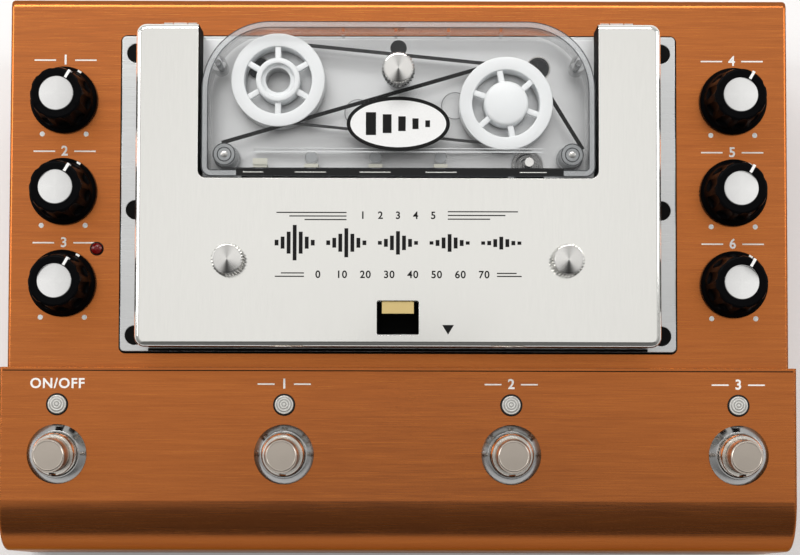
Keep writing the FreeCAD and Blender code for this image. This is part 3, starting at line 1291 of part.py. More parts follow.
def make_drive():
    bearing = Piece("capstan_bearing", deck_place)
    spot = [CAPSTAN_SPOT]
    bearing.disc(spot, S.barrel_radius, S.barrel_foot, TRAY_TOP)
    bearing.disc(spot, S.collar_radius, TRAY_TOP, TRAY_TOP + S.collar_height)
    bearing.hole(spot, S.capstan_radius + S.run_gap, S.barrel_foot, TRAY_TOP + S.collar_height)

    wheel_top = S.wheel_low + S.wheel_thick
    capstan = Piece("capstan", deck_place, across=spot[0][0], along=spot[0][1])
    capstan.disc([(0, 0)], S.capstan_radius, S.capstan_foot, S.capstan_top)
    wheel = Piece("flywheel", deck_place, across=spot[0][0], along=spot[0][1])
    wheel.disc([(0, 0)], S.wheel_radius, S.wheel_low, wheel_top)
    wheel.disc([(0, 0)], S.wheel_hub, wheel_top, wheel_top + S.hub_rise)
    wheel.hole([(0, 0)], S.capstan_radius, S.wheel_low, wheel_top + S.hub_rise)

    motor = Piece("drive_motor", deck_place)
    motor.disc([MOTOR_SPOT], S.motor_radius, S.motor_foot, S.tray_level)
    boss_foot = S.motor_foot - S.boss_height
    motor.disc([MOTOR_SPOT], S.motor_boss, boss_foot, S.motor_foot)
    motor.hole([MOTOR_SPOT], S.motor_shaft + S.run_gap, boss_foot, S.motor_foot + S.motor_boss)
    pulley = Piece("motor_pulley", deck_place, across=MOTOR_SPOT[0], along=MOTOR_SPOT[1])
    pulley.disc([(0, 0)], S.pulley_radius, S.wheel_low, wheel_top)
    pulley.disc([(0, 0)], S.motor_shaft, wheel_top, S.motor_foot + S.motor_boss - S.run_gap)

    arm = Piece("pinch_arm", deck_place)
    pinch_x, pinch_y = PINCH_SPOT
    pivot_x, pivot_y = ARM_SPOT
    half = S.arm_half
    low = S.arm_low
    high = low + S.arm_sheet
    bar = [
        (pivot_x - half, pivot_y - half / 2),
        (pivot_x + half / 2, pivot_y + half),
        (pinch_x + half / 2, pinch_y + half),
        (pinch_x - half / 2, pinch_y - half),
    ]
    arm.pad(arm.outlines([bar], lift=low), S.arm_sheet)
    arm.disc([PINCH_SPOT, ARM_SPOT], half, low, high)
    arm.disc([PINCH_SPOT], S.axle_radius, high, S.pinch_top + S.arm_sheet)
    arm.disc([PINCH_SPOT], half, S.pinch_top + S.hinge_gap, S.pinch_top + S.arm_sheet)
    arm.hole([ARM_SPOT], S.arm_pin + S.run_gap, low, high)

    roller = Piece("pinch_roller", deck_place, across=pinch_x, along=pinch_y)
    roller.disc([(0, 0)], S.pinch_radius, S.pinch_low, S.pinch_top)
    roller.hole([(0, 0)], S.axle_radius + S.run_gap, S.pinch_low, S.pinch_top)


def tangent_loop(circles):
    """A closed wire round circles that are listed against the clock, all on its inner side."""
    points = []
    for row, (x, y, radius) in enumerate(circles):
        next_x, next_y, next_radius = circles[(row + 1) % len(circles)]
        gap = math.hypot(next_x - x, next_y - y)
        heading = math.atan2(next_y - y, next_x - x)
        normal = heading - math.acos((radius - next_radius) / gap)
        side = FreeCAD.Vector(math.cos(normal), math.sin(normal), 0)
        start = FreeCAD.Vector(x, y, 0) + side * radius
        points.append((start, FreeCAD.Vector(next_x, next_y, 0) + side * next_radius))
    edges = []
    for row, (start, end) in enumerate(points):
        x, y, radius = circles[row]
        middle = FreeCAD.Vector(x, y, 0)
        arrival = points[row - 1][1]
        bisector = (arrival - middle) + (start - middle)
        if (arrival - middle).cross(start - middle).z < 0:
            bisector = -bisector
        if bisector.Length < ON_EDGE:
            bisector = FreeCAD.Vector(0, 0, 1).cross(arrival - middle)
        edges.append(Part.Arc(arrival, middle + bisector.normalize() * radius, start).toShape())
        edges.append(Part.LineSegment(start, end).toShape())
    return Part.Wire(edges)


def band(circles, gap, thick, low, height):
    """A thin closed band round circles, a gap off them."""
    inner = tangent_loop([(x, y, radius + gap) for x, y, radius in circles])
    outer = tangent_loop([(x, y, radius + gap + thick) for x, y, radius in circles])
    ring = Part.Face(outer).cut(Part.Face(inner))
    ring.translate(FreeCAD.Vector(0, 0, low))
    return ring.extrude(FreeCAD.Vector(0, 0, height)).Solids[0]


def strip(start, end, width, low, thick):
    """A flat strip between two points."""
    run = end - start
    side = FreeCAD.Vector(-run.y, run.x, 0).normalize() * (width / 2)
    corners = [start + side, start - side, end - side, end + side]
    outline = Part.makePolygon([*corners, corners[0]])
    return Part.Face(outline).translated(FreeCAD.Vector(0, 0, low)).extrude(FreeCAD.Vector(0, 0, thick))


def spot_circle(spot, radius):
    return (spot[0].number, spot[1].number, radius.number)


def ready_made(label, solids):
    """A piece whose shape comes from geometry worked out above, stood on the deck."""
    piece = DOC.addObject("Part::Feature", label)
    piece.Label = label
    piece.Shape = solids[0] if len(solids) == 1 else Part.makeCompound(solids)
    deck_place(piece)
    PIECES.append(piece)


def make_bands():
    belt_low = (S.wheel_low + S.wheel_thick / 2 - S.belt_width / 2).number
    wheels = [spot_circle(MOTOR_SPOT, S.pulley_radius), spot_circle(CAPSTAN_SPOT, S.wheel_radius)]
    belt = band(wheels, S.belt_gap.number, S.belt_thick.number, belt_low, S.belt_width.number)
    ready_made("drive_belt", [belt])

    gap = S.tape_gap.number
    thick = S.tape_thick.number
    low = S.tape_low.number
    width = S.tape_width.number
    drums = [spot_circle(spot, S.reel_drum) for spot in REEL_SPOTS]
    wound = band(drums, gap, thick, low, width)
    rollers = [spot_circle(spot, S.roller_radius) for spot in ROLLER_SPOTS]
    front_run = band(rollers, gap, thick, low, width)
    (left_x, left_y, roller), (right_x, right_y, _) = rollers
    outer_half = roller + gap + thick
    ends = Part.makeBox(right_x - left_x + 2 * outer_half, right_y, width)
    ends.translate(FreeCAD.Vector(left_x - outer_half, 0, low))
    front_run = front_run.common(ends).Solids[0]
    strip_width = 8 * thick
    reach = roller + gap + strip_width / 2
    drum = S.reel_drum.number + gap + strip_width / 2
    strip_low = low + width + gap / 2
    reel = FreeCAD.Vector(REEL_SPOTS[1][0].number, REEL_SPOTS[1][1].number, 0)
    flat_runs = []
    for roller_x, roller_y, hand in ((left_x, left_y, 1), (right_x, right_y, -1)):
        roller_place = FreeCAD.Vector(roller_x, roller_y, 0)
        run = reel - roller_place
        heading = math.atan2(run.y, run.x) + hand * math.asin((drum - reach) / run.Length)
        side = FreeCAD.Vector(-math.sin(heading), math.cos(heading), 0) * hand
        start = roller_place + side * reach
        flat_runs.append(strip(start, reel + side * drum, strip_width, strip_low, thick / 2))
    ready_made("tape_loop", [wound, front_run, *flat_runs])


def make_all():
    make_base()
    make_front_shell()
    make_rear_shell()
    make_rear_fittings()
    make_pedals()
    make_knobs()
    make_plate()
    make_tray()
    make_latch()
    make_cover()
    make_cartridge()
    make_tape_path()
    make_heads()
    make_drive()
    make_bands()


def check_and_export():
    """Refuse a failed object or an empty piece, then write each piece."""
    DOC.recompute()
    failed = [item.Name for item in DOC.Objects if {"Invalid", "Error"} & set(item.State)]
    if failed:
        raise RuntimeError(f"failed objects: {failed}")
    for piece in PIECES:
        if piece.Shape.isNull() or not piece.Shape.isValid() or not piece.Shape.Solids:
            raise RuntimeError(f"bad shape: {piece.Label}")
    os.makedirs("parts", exist_ok=True)
    for piece in PIECES:
        piece.Shape.exportStep(f"parts/{piece.Label}.step")
        solids = len(piece.Shape.Solids)
        print(f"{piece.Label}: {solids} solid(s), {piece.Shape.Volume:.1f} mm3")


make_all()
check_and_export()
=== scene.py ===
"""Looks of the tape echo unit: finishes, printed marks and the pieces that need more than plain solids.

Pieces are modelled in millimetres in the deck frame: x to the right, v up the slope from the seam
between the two shells, n square to the rear deck. They are baked to metres, in the row frame, when
they are finished.
"""
from __future__ import annotations

import json
import logging
import math
from contextlib import contextmanager
from dataclasses import dataclass
from enum import Enum
from typing import Callable, Iterator, Sequence

import bmesh
import bpy
from mathutils import Matrix, Vector

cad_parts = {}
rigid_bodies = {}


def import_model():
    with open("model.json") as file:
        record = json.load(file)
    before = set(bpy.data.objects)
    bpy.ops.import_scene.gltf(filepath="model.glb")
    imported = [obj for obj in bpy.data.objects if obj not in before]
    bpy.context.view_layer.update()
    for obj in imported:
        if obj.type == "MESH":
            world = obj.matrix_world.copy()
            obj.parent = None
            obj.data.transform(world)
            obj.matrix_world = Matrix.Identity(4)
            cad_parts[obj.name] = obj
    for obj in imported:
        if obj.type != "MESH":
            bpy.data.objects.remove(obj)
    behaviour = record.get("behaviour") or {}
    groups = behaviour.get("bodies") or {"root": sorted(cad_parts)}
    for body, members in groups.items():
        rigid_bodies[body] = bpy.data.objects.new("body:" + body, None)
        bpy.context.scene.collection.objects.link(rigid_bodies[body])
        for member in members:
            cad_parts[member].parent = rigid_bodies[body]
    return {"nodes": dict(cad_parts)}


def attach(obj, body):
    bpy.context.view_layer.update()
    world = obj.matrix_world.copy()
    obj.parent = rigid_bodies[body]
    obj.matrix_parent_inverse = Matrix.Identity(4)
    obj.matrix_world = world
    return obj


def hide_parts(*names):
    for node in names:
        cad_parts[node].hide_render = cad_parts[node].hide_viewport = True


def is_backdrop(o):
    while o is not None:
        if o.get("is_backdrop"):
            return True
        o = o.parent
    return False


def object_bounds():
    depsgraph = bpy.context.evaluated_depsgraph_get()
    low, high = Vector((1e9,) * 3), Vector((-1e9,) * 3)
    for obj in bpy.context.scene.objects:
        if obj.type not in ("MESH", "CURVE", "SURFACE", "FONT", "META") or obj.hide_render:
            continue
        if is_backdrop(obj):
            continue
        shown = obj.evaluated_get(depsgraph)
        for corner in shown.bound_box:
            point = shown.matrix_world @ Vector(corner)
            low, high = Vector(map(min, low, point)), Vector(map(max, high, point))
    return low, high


LOG = logging.getLogger("tape_echo")
MM = 0.001
Colour = tuple[float, float, float]
Point = tuple[float, float, float]


# ---------------------------------------------------------------- choices and shared sizes


class Element(Enum):
    """What an edit picks."""

    VERTEX = "VERT"
    EDGE = "EDGE"


class Keep(Enum):
    """What a cut leaves of a piece."""

    OUTSIDE = "DIFFERENCE"
    SHARED = "INTERSECT"


class Hub(Enum):
    """How the middle of a reel looks from above."""

    OPEN = "open"
    CAPPED = "capped"


@dataclass(frozen=True)
class Layout:
    """Sizes that the whole unit shares, in millimetres and degrees."""

    slope: float = 5.0
    seam_y: float = -31.0
    seam_z: float = 58.745
    front_deck: float = 6.0
    cover_top: float = 21.0
    lid_top: float = 20.0
    knob_across: float = 102.1
    knob_rows: tuple[tuple[str, float], ...] = (("rear", 82.0), ("middle", 54.0), ("front", 26.0))
    pedal_acrosses: tuple[float, ...] = (-102.45, -34.15, 34.15, 102.45)

    def matrix(self) -> Matrix:
        """The matrix that takes the deck frame's millimetres to metres in the row frame."""
        place = Matrix.Translation((0, self.seam_y, self.seam_z))
        return Matrix.Scale(MM, 4) @ place @ Matrix.Rotation(math.radians(self.slope), 4, "X")


LAYOUT = Layout()


# ---------------------------------------------------------------- shader sheets


class Wire:
    """A number that runs through a shader, so that Python's operators add its Math nodes."""

    def __init__(self, recipe: Recipe, socket: bpy.types.NodeSocket) -> None:
        """Keep the recipe that the socket belongs to."""
        self.recipe = recipe
        self.socket = socket

    def _maths(self, operation: str, first: Wire | float, second: Wire | float = 0.0) -> Wire:
        """Add a Math node and give its result."""
        node = self.recipe.node("ShaderNodeMath", {"operation": operation}, {0: first, 1: second})
        return Wire(self.recipe, node.outputs[0])

    def __add__(self, other: Wire | float) -> Wire:
        """Sum of two numbers."""
        return self._maths("ADD", self, other)

    __radd__ = __add__

    def __sub__(self, other: Wire | float) -> Wire:
        """Difference of two numbers."""
        return self._maths("SUBTRACT", self, other)

    def __rsub__(self, other: Wire | float) -> Wire:
        """Difference, with this number taken away."""
        return self._maths("SUBTRACT", other, self)

    def __mul__(self, other: Wire | float) -> Wire:
        """Product of two numbers."""
        return self._maths("MULTIPLY", self, other)

    __rmul__ = __mul__

    def __truediv__(self, other: Wire | float) -> Wire:
        """Quotient of two numbers."""
        return self._maths("DIVIDE", self, other)

    def __gt__(self, other: Wire | float) -> Wire:
        """One where this number is the larger, else nought."""
        return self._maths("GREATER_THAN", self, other)

    def power(self, exponent: float) -> Wire:
        """This number to a power."""
        return self._maths("POWER", self, exponent)

    def sine(self) -> Wire:
        """The sine of this number."""
        return self._maths("SINE", self)

    def absolute(self) -> Wire:
        """This number without its sign."""
        return self._maths("ABSOLUTE", self)

    def clamped(self) -> Wire:
        """This number, held between nought and one."""
        node = self.recipe.node("ShaderNodeClamp", {}, {0: self, 1: 0.0, 2: 1.0})
        return Wire(self.recipe, node.outputs[0])


class Recipe:
    """One material in the making."""

    def __init__(self, name: str, owner: bpy.types.ID | None = None) -> None:
        """Start an empty material.

        Args:
            name: the material's name.
            owner: a world to fill in place of a new material.
        """
        self.material = owner or bpy.data.materials.new(name)
        self.material.use_nodes = True
        self.tree = self.material.node_tree
        self.tree.nodes.clear()

    def node(
        self, kind: str, settings: dict[str, object] | None = None, sockets: dict | None = None
    ) -> bpy.types.Node:
        """Add any node.

        Args:
            kind: the node's type.
            settings: properties that are set first; stops fills a colour ramp.
            sockets: values or links of its inputs, by name or number.

        Returns:
            The new node.
        """
        node = self.tree.nodes.new(kind)
        for key, value in (settings or {}).items():
            if key == "stops":
                self._fill_ramp(node.color_ramp, value)
            else:
                setattr(node, key, value)
        for key, value in (sockets or {}).items():
            socket = node.inputs[key]
            if isinstance(value, Wire):
                self.tree.links.new(value.socket, socket)
            elif isinstance(value, bpy.types.NodeSocket):
                self.tree.links.new(value, socket)
            else:
                socket.default_value = value
        return node

    @staticmethod
    def _fill_ramp(ramp: bpy.types.ColorRamp, stops: Sequence[tuple[float, float]]) -> None:
        """Set the stops of a ramp of greys."""
        while len(ramp.elements) < len(stops):
            ramp.elements.new(0.5)
        for element, (place, grey) in zip(ramp.elements, stops):
            element.position = place
            element.color = (grey, grey, grey, 1.0)

    def stretched(self, scale: Point, centre: Point = (0, 0, 0)) -> bpy.types.NodeSocket:
        """Object coordinates, centred and stretched.

        Args:
            scale: features per metre along each direction.
            centre: the pattern's middle, in metres.

        Returns:
            The socket with the coordinates.
        """
        place = self.node("ShaderNodeTexCoord").outputs["Object"]
        if any(centre):
            moved = self.node("ShaderNodeVectorMath", {"operation": "SUBTRACT"}, {0: place, 1: centre})
            place = moved.outputs[0]
        sockets = {"Vector": place, "Scale": scale}
        return self.node("ShaderNodeMapping", {"vector_type": "POINT"}, sockets).outputs[0]

    def from_axis(self, centre: Point) -> tuple[Wire, Wire, Wire]:
        """Distances from an upright axis.

        Args:
            centre: a point on the axis, in metres.

        Returns:
            The distance across, the distance along and the radius.
        """
        parts = self.node("ShaderNodeSeparateXYZ", {}, {0: self.stretched((1, 1, 1), centre)})
        across, along = Wire(self, parts.outputs[0]), Wire(self, parts.outputs[1])
        return across, along, (across * across + along * along).power(0.5)

    def noise(self, vector: bpy.types.NodeSocket, detail: float = 3.0, roughness: float = 0.55) -> Wire:
        """A cloud of greys from nought to one.

        Args:
            vector: the coordinates.
            detail: how many finer layers it has.
            roughness: how strong the finer layers are.

        Returns:
            The grey.
        """
        sockets = {"Vector": vector, "Scale": 1.0, "Detail": detail, "Roughness": roughness}
        return Wire(self, self.node("ShaderNodeTexNoise", {}, sockets).outputs[0])

    def mixed(self, share: Wire | float, first: object, second: object) -> bpy.types.NodeSocket:
        """A colour between two.

        Args:
            share: nought gives the first, one the second.
            first: a colour or a socket.
            second: a colour or a socket.

        Returns:
            The socket of the mixed colour.
        """
        first = (*first, 1.0) if isinstance(first, tuple) else first
        second = (*second, 1.0) if isinstance(second, tuple) else second
        sockets = {0: share, 6: first, 7: second}
        return self.node("ShaderNodeMix", {"data_type": "RGBA"}, sockets).outputs[2]

    def bumped(
        self, height: Wire, strength: float, depth: float, under: bpy.types.NodeSocket | None = None
    ) -> bpy.types.NodeSocket:
        """A normal that a height pattern tilts.

        Args:
            height: the pattern.
            strength: share of the effect.
            depth: height of the pattern in metres.
            under: another normal to start from.

        Returns:
            The socket of the normal.
        """
        sockets = {"Height": height, "Strength": strength, "Distance": depth}
        if under is not None:
            sockets["Normal"] = under
        return self.node("ShaderNodeBump", {}, sockets).outputs[0]

    def rounded(self, radius: float) -> bpy.types.NodeSocket:
        """A normal that rounds sharp edges.

        Args:
            radius: radius of the round in metres.

        Returns:
            The socket of the normal.
        """
        return self.node("ShaderNodeBevel", {"samples": 4}, {"Radius": radius}).outputs[0]

    def surface(self, sockets: dict) -> bpy.types.Material:
        """Close the recipe with one principled surface.

        Args:
            sockets: values or links of the surface's inputs.

        Returns:
            The finished material.
        """
        shader = self.node("ShaderNodeBsdfPrincipled", {}, sockets)
        return self.output(shader.outputs[0])

    def output(self, socket: bpy.types.NodeSocket) -> bpy.types.Material:
        """Close the recipe with any shader."""
        self.node("ShaderNodeOutputMaterial", {}, {"Surface": socket})
        return self.material


def rgba(colour: Colour) -> tuple[float, float, float, float]:
    """A colour with full cover."""
    return (*colour, 1.0)


# ---------------------------------------------------------------- finishes


@dataclass(frozen=True)
class BrushedShell:
    """Aluminium, brushed from side to side, with or without a tinted and sealed surface."""

    name: str
    light: Colour
    dark: Colour
    rough: float = 0.38
    grain: float = 3300.0
    run: float = 70.0
    edge: float = 0.0003
    contrast: float = 1.0
    depth: float = 0.00002
    seal: float = 0.0
    graze: float = 0.0

    def make(self) -> bpy.types.Material:
        """Build the material: fine and coarse streaks along X, and along Y on the side walls."""
        recipe = Recipe(self.name)
        facing = recipe.node("ShaderNodeNewGeometry").outputs["Normal"]
        parts = recipe.node("ShaderNodeSeparateXYZ", {}, {0: facing})
        side = Wire(recipe, parts.outputs[0]).absolute() > 0.7
        fine = self._streaks(recipe, side, self.run, self.grain, 2.0)
        hair = self._streaks(recipe, side, self.run * 2.2, self.grain * 2.4, 1.0)
        coarse = self._streaks(recipe, side, self.run * 0.3, self.grain * 0.2, 3.0)
        cloud = recipe.noise(recipe.stretched((7, 11, 11)), 2.0)
        streaks = fine * 0.5 + hair * 0.2 + coarse * 0.3
        patches = (cloud - 0.5) * 0.4 * self.contrast
        share = ((streaks - 0.5) * (2.6 * self.contrast) + patches + 0.5).clamped()
        colour = recipe.mixed(share, self.dark, self.light)
        weight = recipe.node("ShaderNodeLayerWeight", {}, {"Blend": 0.5})
        slant = Wire(recipe, weight.outputs["Facing"])
        # Painted shade: where the surface is seen at a slant, as on the front bend, the colour turns towards
        # a deeper copy of the dark tone.
        if self.graze:
            painted_graze_colour = tuple(channel * 0.45 for channel in self.dark)
            colour = recipe.mixed((slant * 1.8).clamped() * self.graze, colour, painted_graze_colour)
        rough = (self.rough + (fine - 0.5) * 0.16 + (cloud - 0.5) * 0.05).clamped()
        normal = recipe.bumped(fine * 0.6 + hair * 0.4, 0.6, self.depth, recipe.rounded(self.edge))
        sockets = {"Base Color": colour, "Metallic": 1.0, "Roughness": rough, "Normal": normal}
        if self.seal:
            seal = ((1 - slant * 1.3) * self.seal).clamped()
            sockets.update({"Coat Weight": seal, "Coat Roughness": 0.32, "Coat IOR": 1.7})
            sockets["Specular Tint"] = (0.7, 0.5, 0.35, 1)
        return recipe.surface(sockets)

    @staticmethod
    def _streaks(recipe: Recipe, side: Wire, run: float, grain: float, detail: float) -> Wire:
        """Streaks along X, changed for streaks along Y where the side mask is one."""
        along = recipe.noise(recipe.stretched((run, grain, grain)), detail)
        across = recipe.noise(recipe.stretched((grain, run, grain)), detail)
        return along * (1 - side) + across * side


@dataclass(frozen=True)
class Plated:
    """Polished or satin plated metal with faint haze and scratches."""

    name: str
    colour: Colour
    rough: float = 0.07
    haze: float = 0.05
    edge: float = 0.0
    scratch: float = 0.0

    def make(self) -> bpy.types.Material:
        """Build the material."""
        recipe = Recipe(self.name)
        cloud = recipe.noise(recipe.stretched((38, 38, 38)), 4.0, 0.6)
        lines = recipe.noise(recipe.stretched((2200, 30, 2200)), 2.0)
        rough = (self.rough + (cloud - 0.4) * self.haze + (lines - 0.5) * self.haze * 0.6).clamped()
        tint = recipe.mixed(lines, tuple(channel * 0.94 for channel in self.colour), self.colour)
        sockets = {"Base Color": tint, "Metallic": 1.0, "Roughness": rough}
        under = recipe.rounded(self.edge) if self.edge else None
        if self.scratch:
            sockets["Normal"] = recipe.bumped(lines, 0.4, self.scratch, under)
        elif under is not None:
            sockets["Normal"] = under
        return recipe.surface(sockets)


@dataclass(frozen=True)
class Turned:
    """Metal faced on a lathe: rings round a centre that is given for each piece."""

    name: str
    colour: Colour
    centre: Point
    rough: float = 0.22
    pitch: float = 0.00018
    depth: float = 0.00001
    wedge: float = 0.0
    shade: float = 0.0

    def make(self) -> bpy.types.Material:
        """Build the material with rings and, if asked, painted reflection wedges of a spun disc and painted
        shade towards the front and rear.
        """
        recipe = Recipe(self.name)
        across, along, radius = recipe.from_axis(self.centre)
        rings = (radius * (math.tau / self.pitch)).sine() * 0.5 + 0.5
        spots = recipe.noise(recipe.stretched((1500, 1500, 1500)), 2.0)
        share = (rings * 0.5 + spots * 0.5).clamped()
        darker = tuple(channel * 0.86 for channel in self.colour)
        tint = recipe.mixed(share, darker, self.colour)
        # Painted reflection: the light and dark wedges of a spun disc are drawn into the colour.
        if self.wedge:
            unit = across * along / (radius * radius + 1e-9)
            tint = recipe.mixed((unit.absolute() * self.wedge).clamped(), tint, darker)
        # Painted shade: the colour darkens strongly towards the front edge and less towards the rear.
        if self.shade:
            near = (along * -1 / (radius + 1e-9)).clamped().power(7.0)
            far = (along / (radius + 1e-9)).clamped().power(8.0) * 0.4
            black = tuple(channel * 0.08 for channel in self.colour)
            tint = recipe.mixed(((near + far) * self.shade).clamped(), tint, black)
        rough = (self.rough + (rings - 0.5) * 0.08 + (spots - 0.5) * 0.1).clamped()
        normal = recipe.bumped(rings, 0.4, self.depth)
        return recipe.surface({"Base Color": tint, "Metallic": 1.0, "Roughness": rough, "Normal": normal})


@dataclass(frozen=True)
class Moulded:
    """Solid plastic or rubber, from glossy to matt."""

    name: str
    colour: Colour
    rough: float = 0.35
    grain: float = 900.0
    depth: float = 0.00002
    spread: float = 0.12
    coat: float = 0.0
    glow: float = 0.0
    edge: float = 0.0
    shine: float = 0.5

    def make(self) -> bpy.types.Material:
        """Build the material: a faint mottle, fine grain in the surface and dust in the gloss."""
        recipe = Recipe(self.name)
        mottle = recipe.noise(recipe.stretched((60, 60, 60)), 3.0)
        grain = recipe.noise(recipe.stretched((self.grain,) * 3), 3.0, 0.6)
        darker = tuple(channel * (1 - self.spread) for channel in self.colour)
        colour = recipe.mixed((mottle * 0.6 + grain * 0.4).clamped(), darker, self.colour)
        rough = (self.rough + (mottle - 0.5) * 0.12 + (grain - 0.5) * 0.08).clamped()
        under = recipe.rounded(self.edge) if self.edge else None
        sockets = {
            "Base Color": colour,
            "Roughness": rough,
            "Normal": recipe.bumped(grain, 0.35, self.depth, under),
            "Coat Weight": self.coat,
            "Coat Roughness": 0.08,
            "Specular IOR Level": self.shine,
        }
        if self.glow:
            sockets["Subsurface Weight"] = self.glow
            sockets["Subsurface Radius"] = (0.002, 0.002, 0.002)
            sockets["Subsurface Scale"] = 1.0
        return recipe.surface(sockets)


@dataclass(frozen=True)
class ClearPlastic:
    """Clear moulding: nearly unseen when looked through squarely, greyer at its edges."""

    name: str
    colour: Colour
    cover: float = 0.02
    rim: float = 0.8
    rough: float = 0.06
    edge: float = 0.0003
    smoke: float = 0.02

    def make(self) -> bpy.types.Material:
        """Build the material."""
        recipe = Recipe(self.name)
        normal = recipe.rounded(self.edge)
        weight = recipe.node("ShaderNodeLayerWeight", {}, {"Blend": 0.35, "Normal": normal})
        facing = Wire(recipe, weight.outputs["Facing"]).power(2.0)
        smoke = recipe.noise(recipe.stretched((45, 45, 45)), 3.0)
        alpha = (self.cover + facing * self.rim + (smoke - 0.5) * self.smoke).clamped()
        darker = tuple(channel * 0.72 for channel in self.colour)
        colour = recipe.mixed(facing.clamped(), self.colour, darker)
        rough = (self.rough + (smoke - 0.5) * 0.05).clamped()
        sockets = {"Base Color": colour, "Roughness": rough, "Normal": normal, "Alpha": alpha}
        return recipe.surface({**sockets, "IOR": 1.49, "Specular IOR Level": 0.6})


@dataclass(frozen=True)
class RibbedLens:
    """Clear lamp lens with rings moulded inside."""

    name: str
    colour: Colour
    centre: Point
    pitch: float = 0.0008

    def make(self) -> bpy.types.Material:
        """Build the material with light and dark rings round the lens's middle."""
        recipe = Recipe(self.name)
        radius = recipe.from_axis(self.centre)[2]
        rings = (radius * (math.tau / self.pitch)).sine() * 0.5 + 0.5
        dust = recipe.noise(recipe.stretched((700, 700, 700)), 2.0)
        darker = tuple(channel * 0.35 for channel in self.colour)
        colour = recipe.mixed((rings * 0.8 + dust * 0.2).clamped(), darker, self.colour)
        normal = recipe.bumped(rings, 0.8, 0.0002)
        sockets = {"Base Color": colour, "Roughness": 0.16 + (dust - 0.5) * 0.1, "Normal": normal}
        return recipe.surface({**sockets, "Coat Weight": 0.6, "Coat Roughness": 0.06})


@dataclass(frozen=True)
class Print:
    """Screen-printed ink, slightly uneven."""

    name: str
    colour: Colour

    def make(self) -> bpy.types.Material:
        """Build the material."""
        recipe = Recipe(self.name)
        speck = recipe.noise(recipe.stretched((2400, 2400, 2400)), 2.0)
        fade = tuple(channel * 0.88 + 0.003 for channel in self.colour)
        sockets = {
            "Base Color": recipe.mixed(speck, fade, self.colour),
            "Roughness": 0.42 + (speck - 0.5) * 0.15,
            "Specular IOR Level": 0.15,
            "Normal": recipe.bumped(speck, 0.3, 0.00001),
        }
        return recipe.surface(sockets)


@dataclass(frozen=True)
class Felt:
    """Pressed felt."""

    name: str
    colour: Colour

    def make(self) -> bpy.types.Material:
        """Build the material."""
        recipe = Recipe(self.name)
        fibre = recipe.noise(recipe.stretched((3200, 1400, 3200)), 4.0, 0.7)
        darker = tuple(channel * 0.7 for channel in self.colour)
        sockets = {
            "Base Color": recipe.mixed(fibre, darker, self.colour),
            "Roughness": 0.85 + (fibre - 0.5) * 0.1,
            "Normal": recipe.bumped(fibre, 0.8, 0.0001),
        }
        return recipe.surface({**sockets, "Sheen Weight": 0.3})


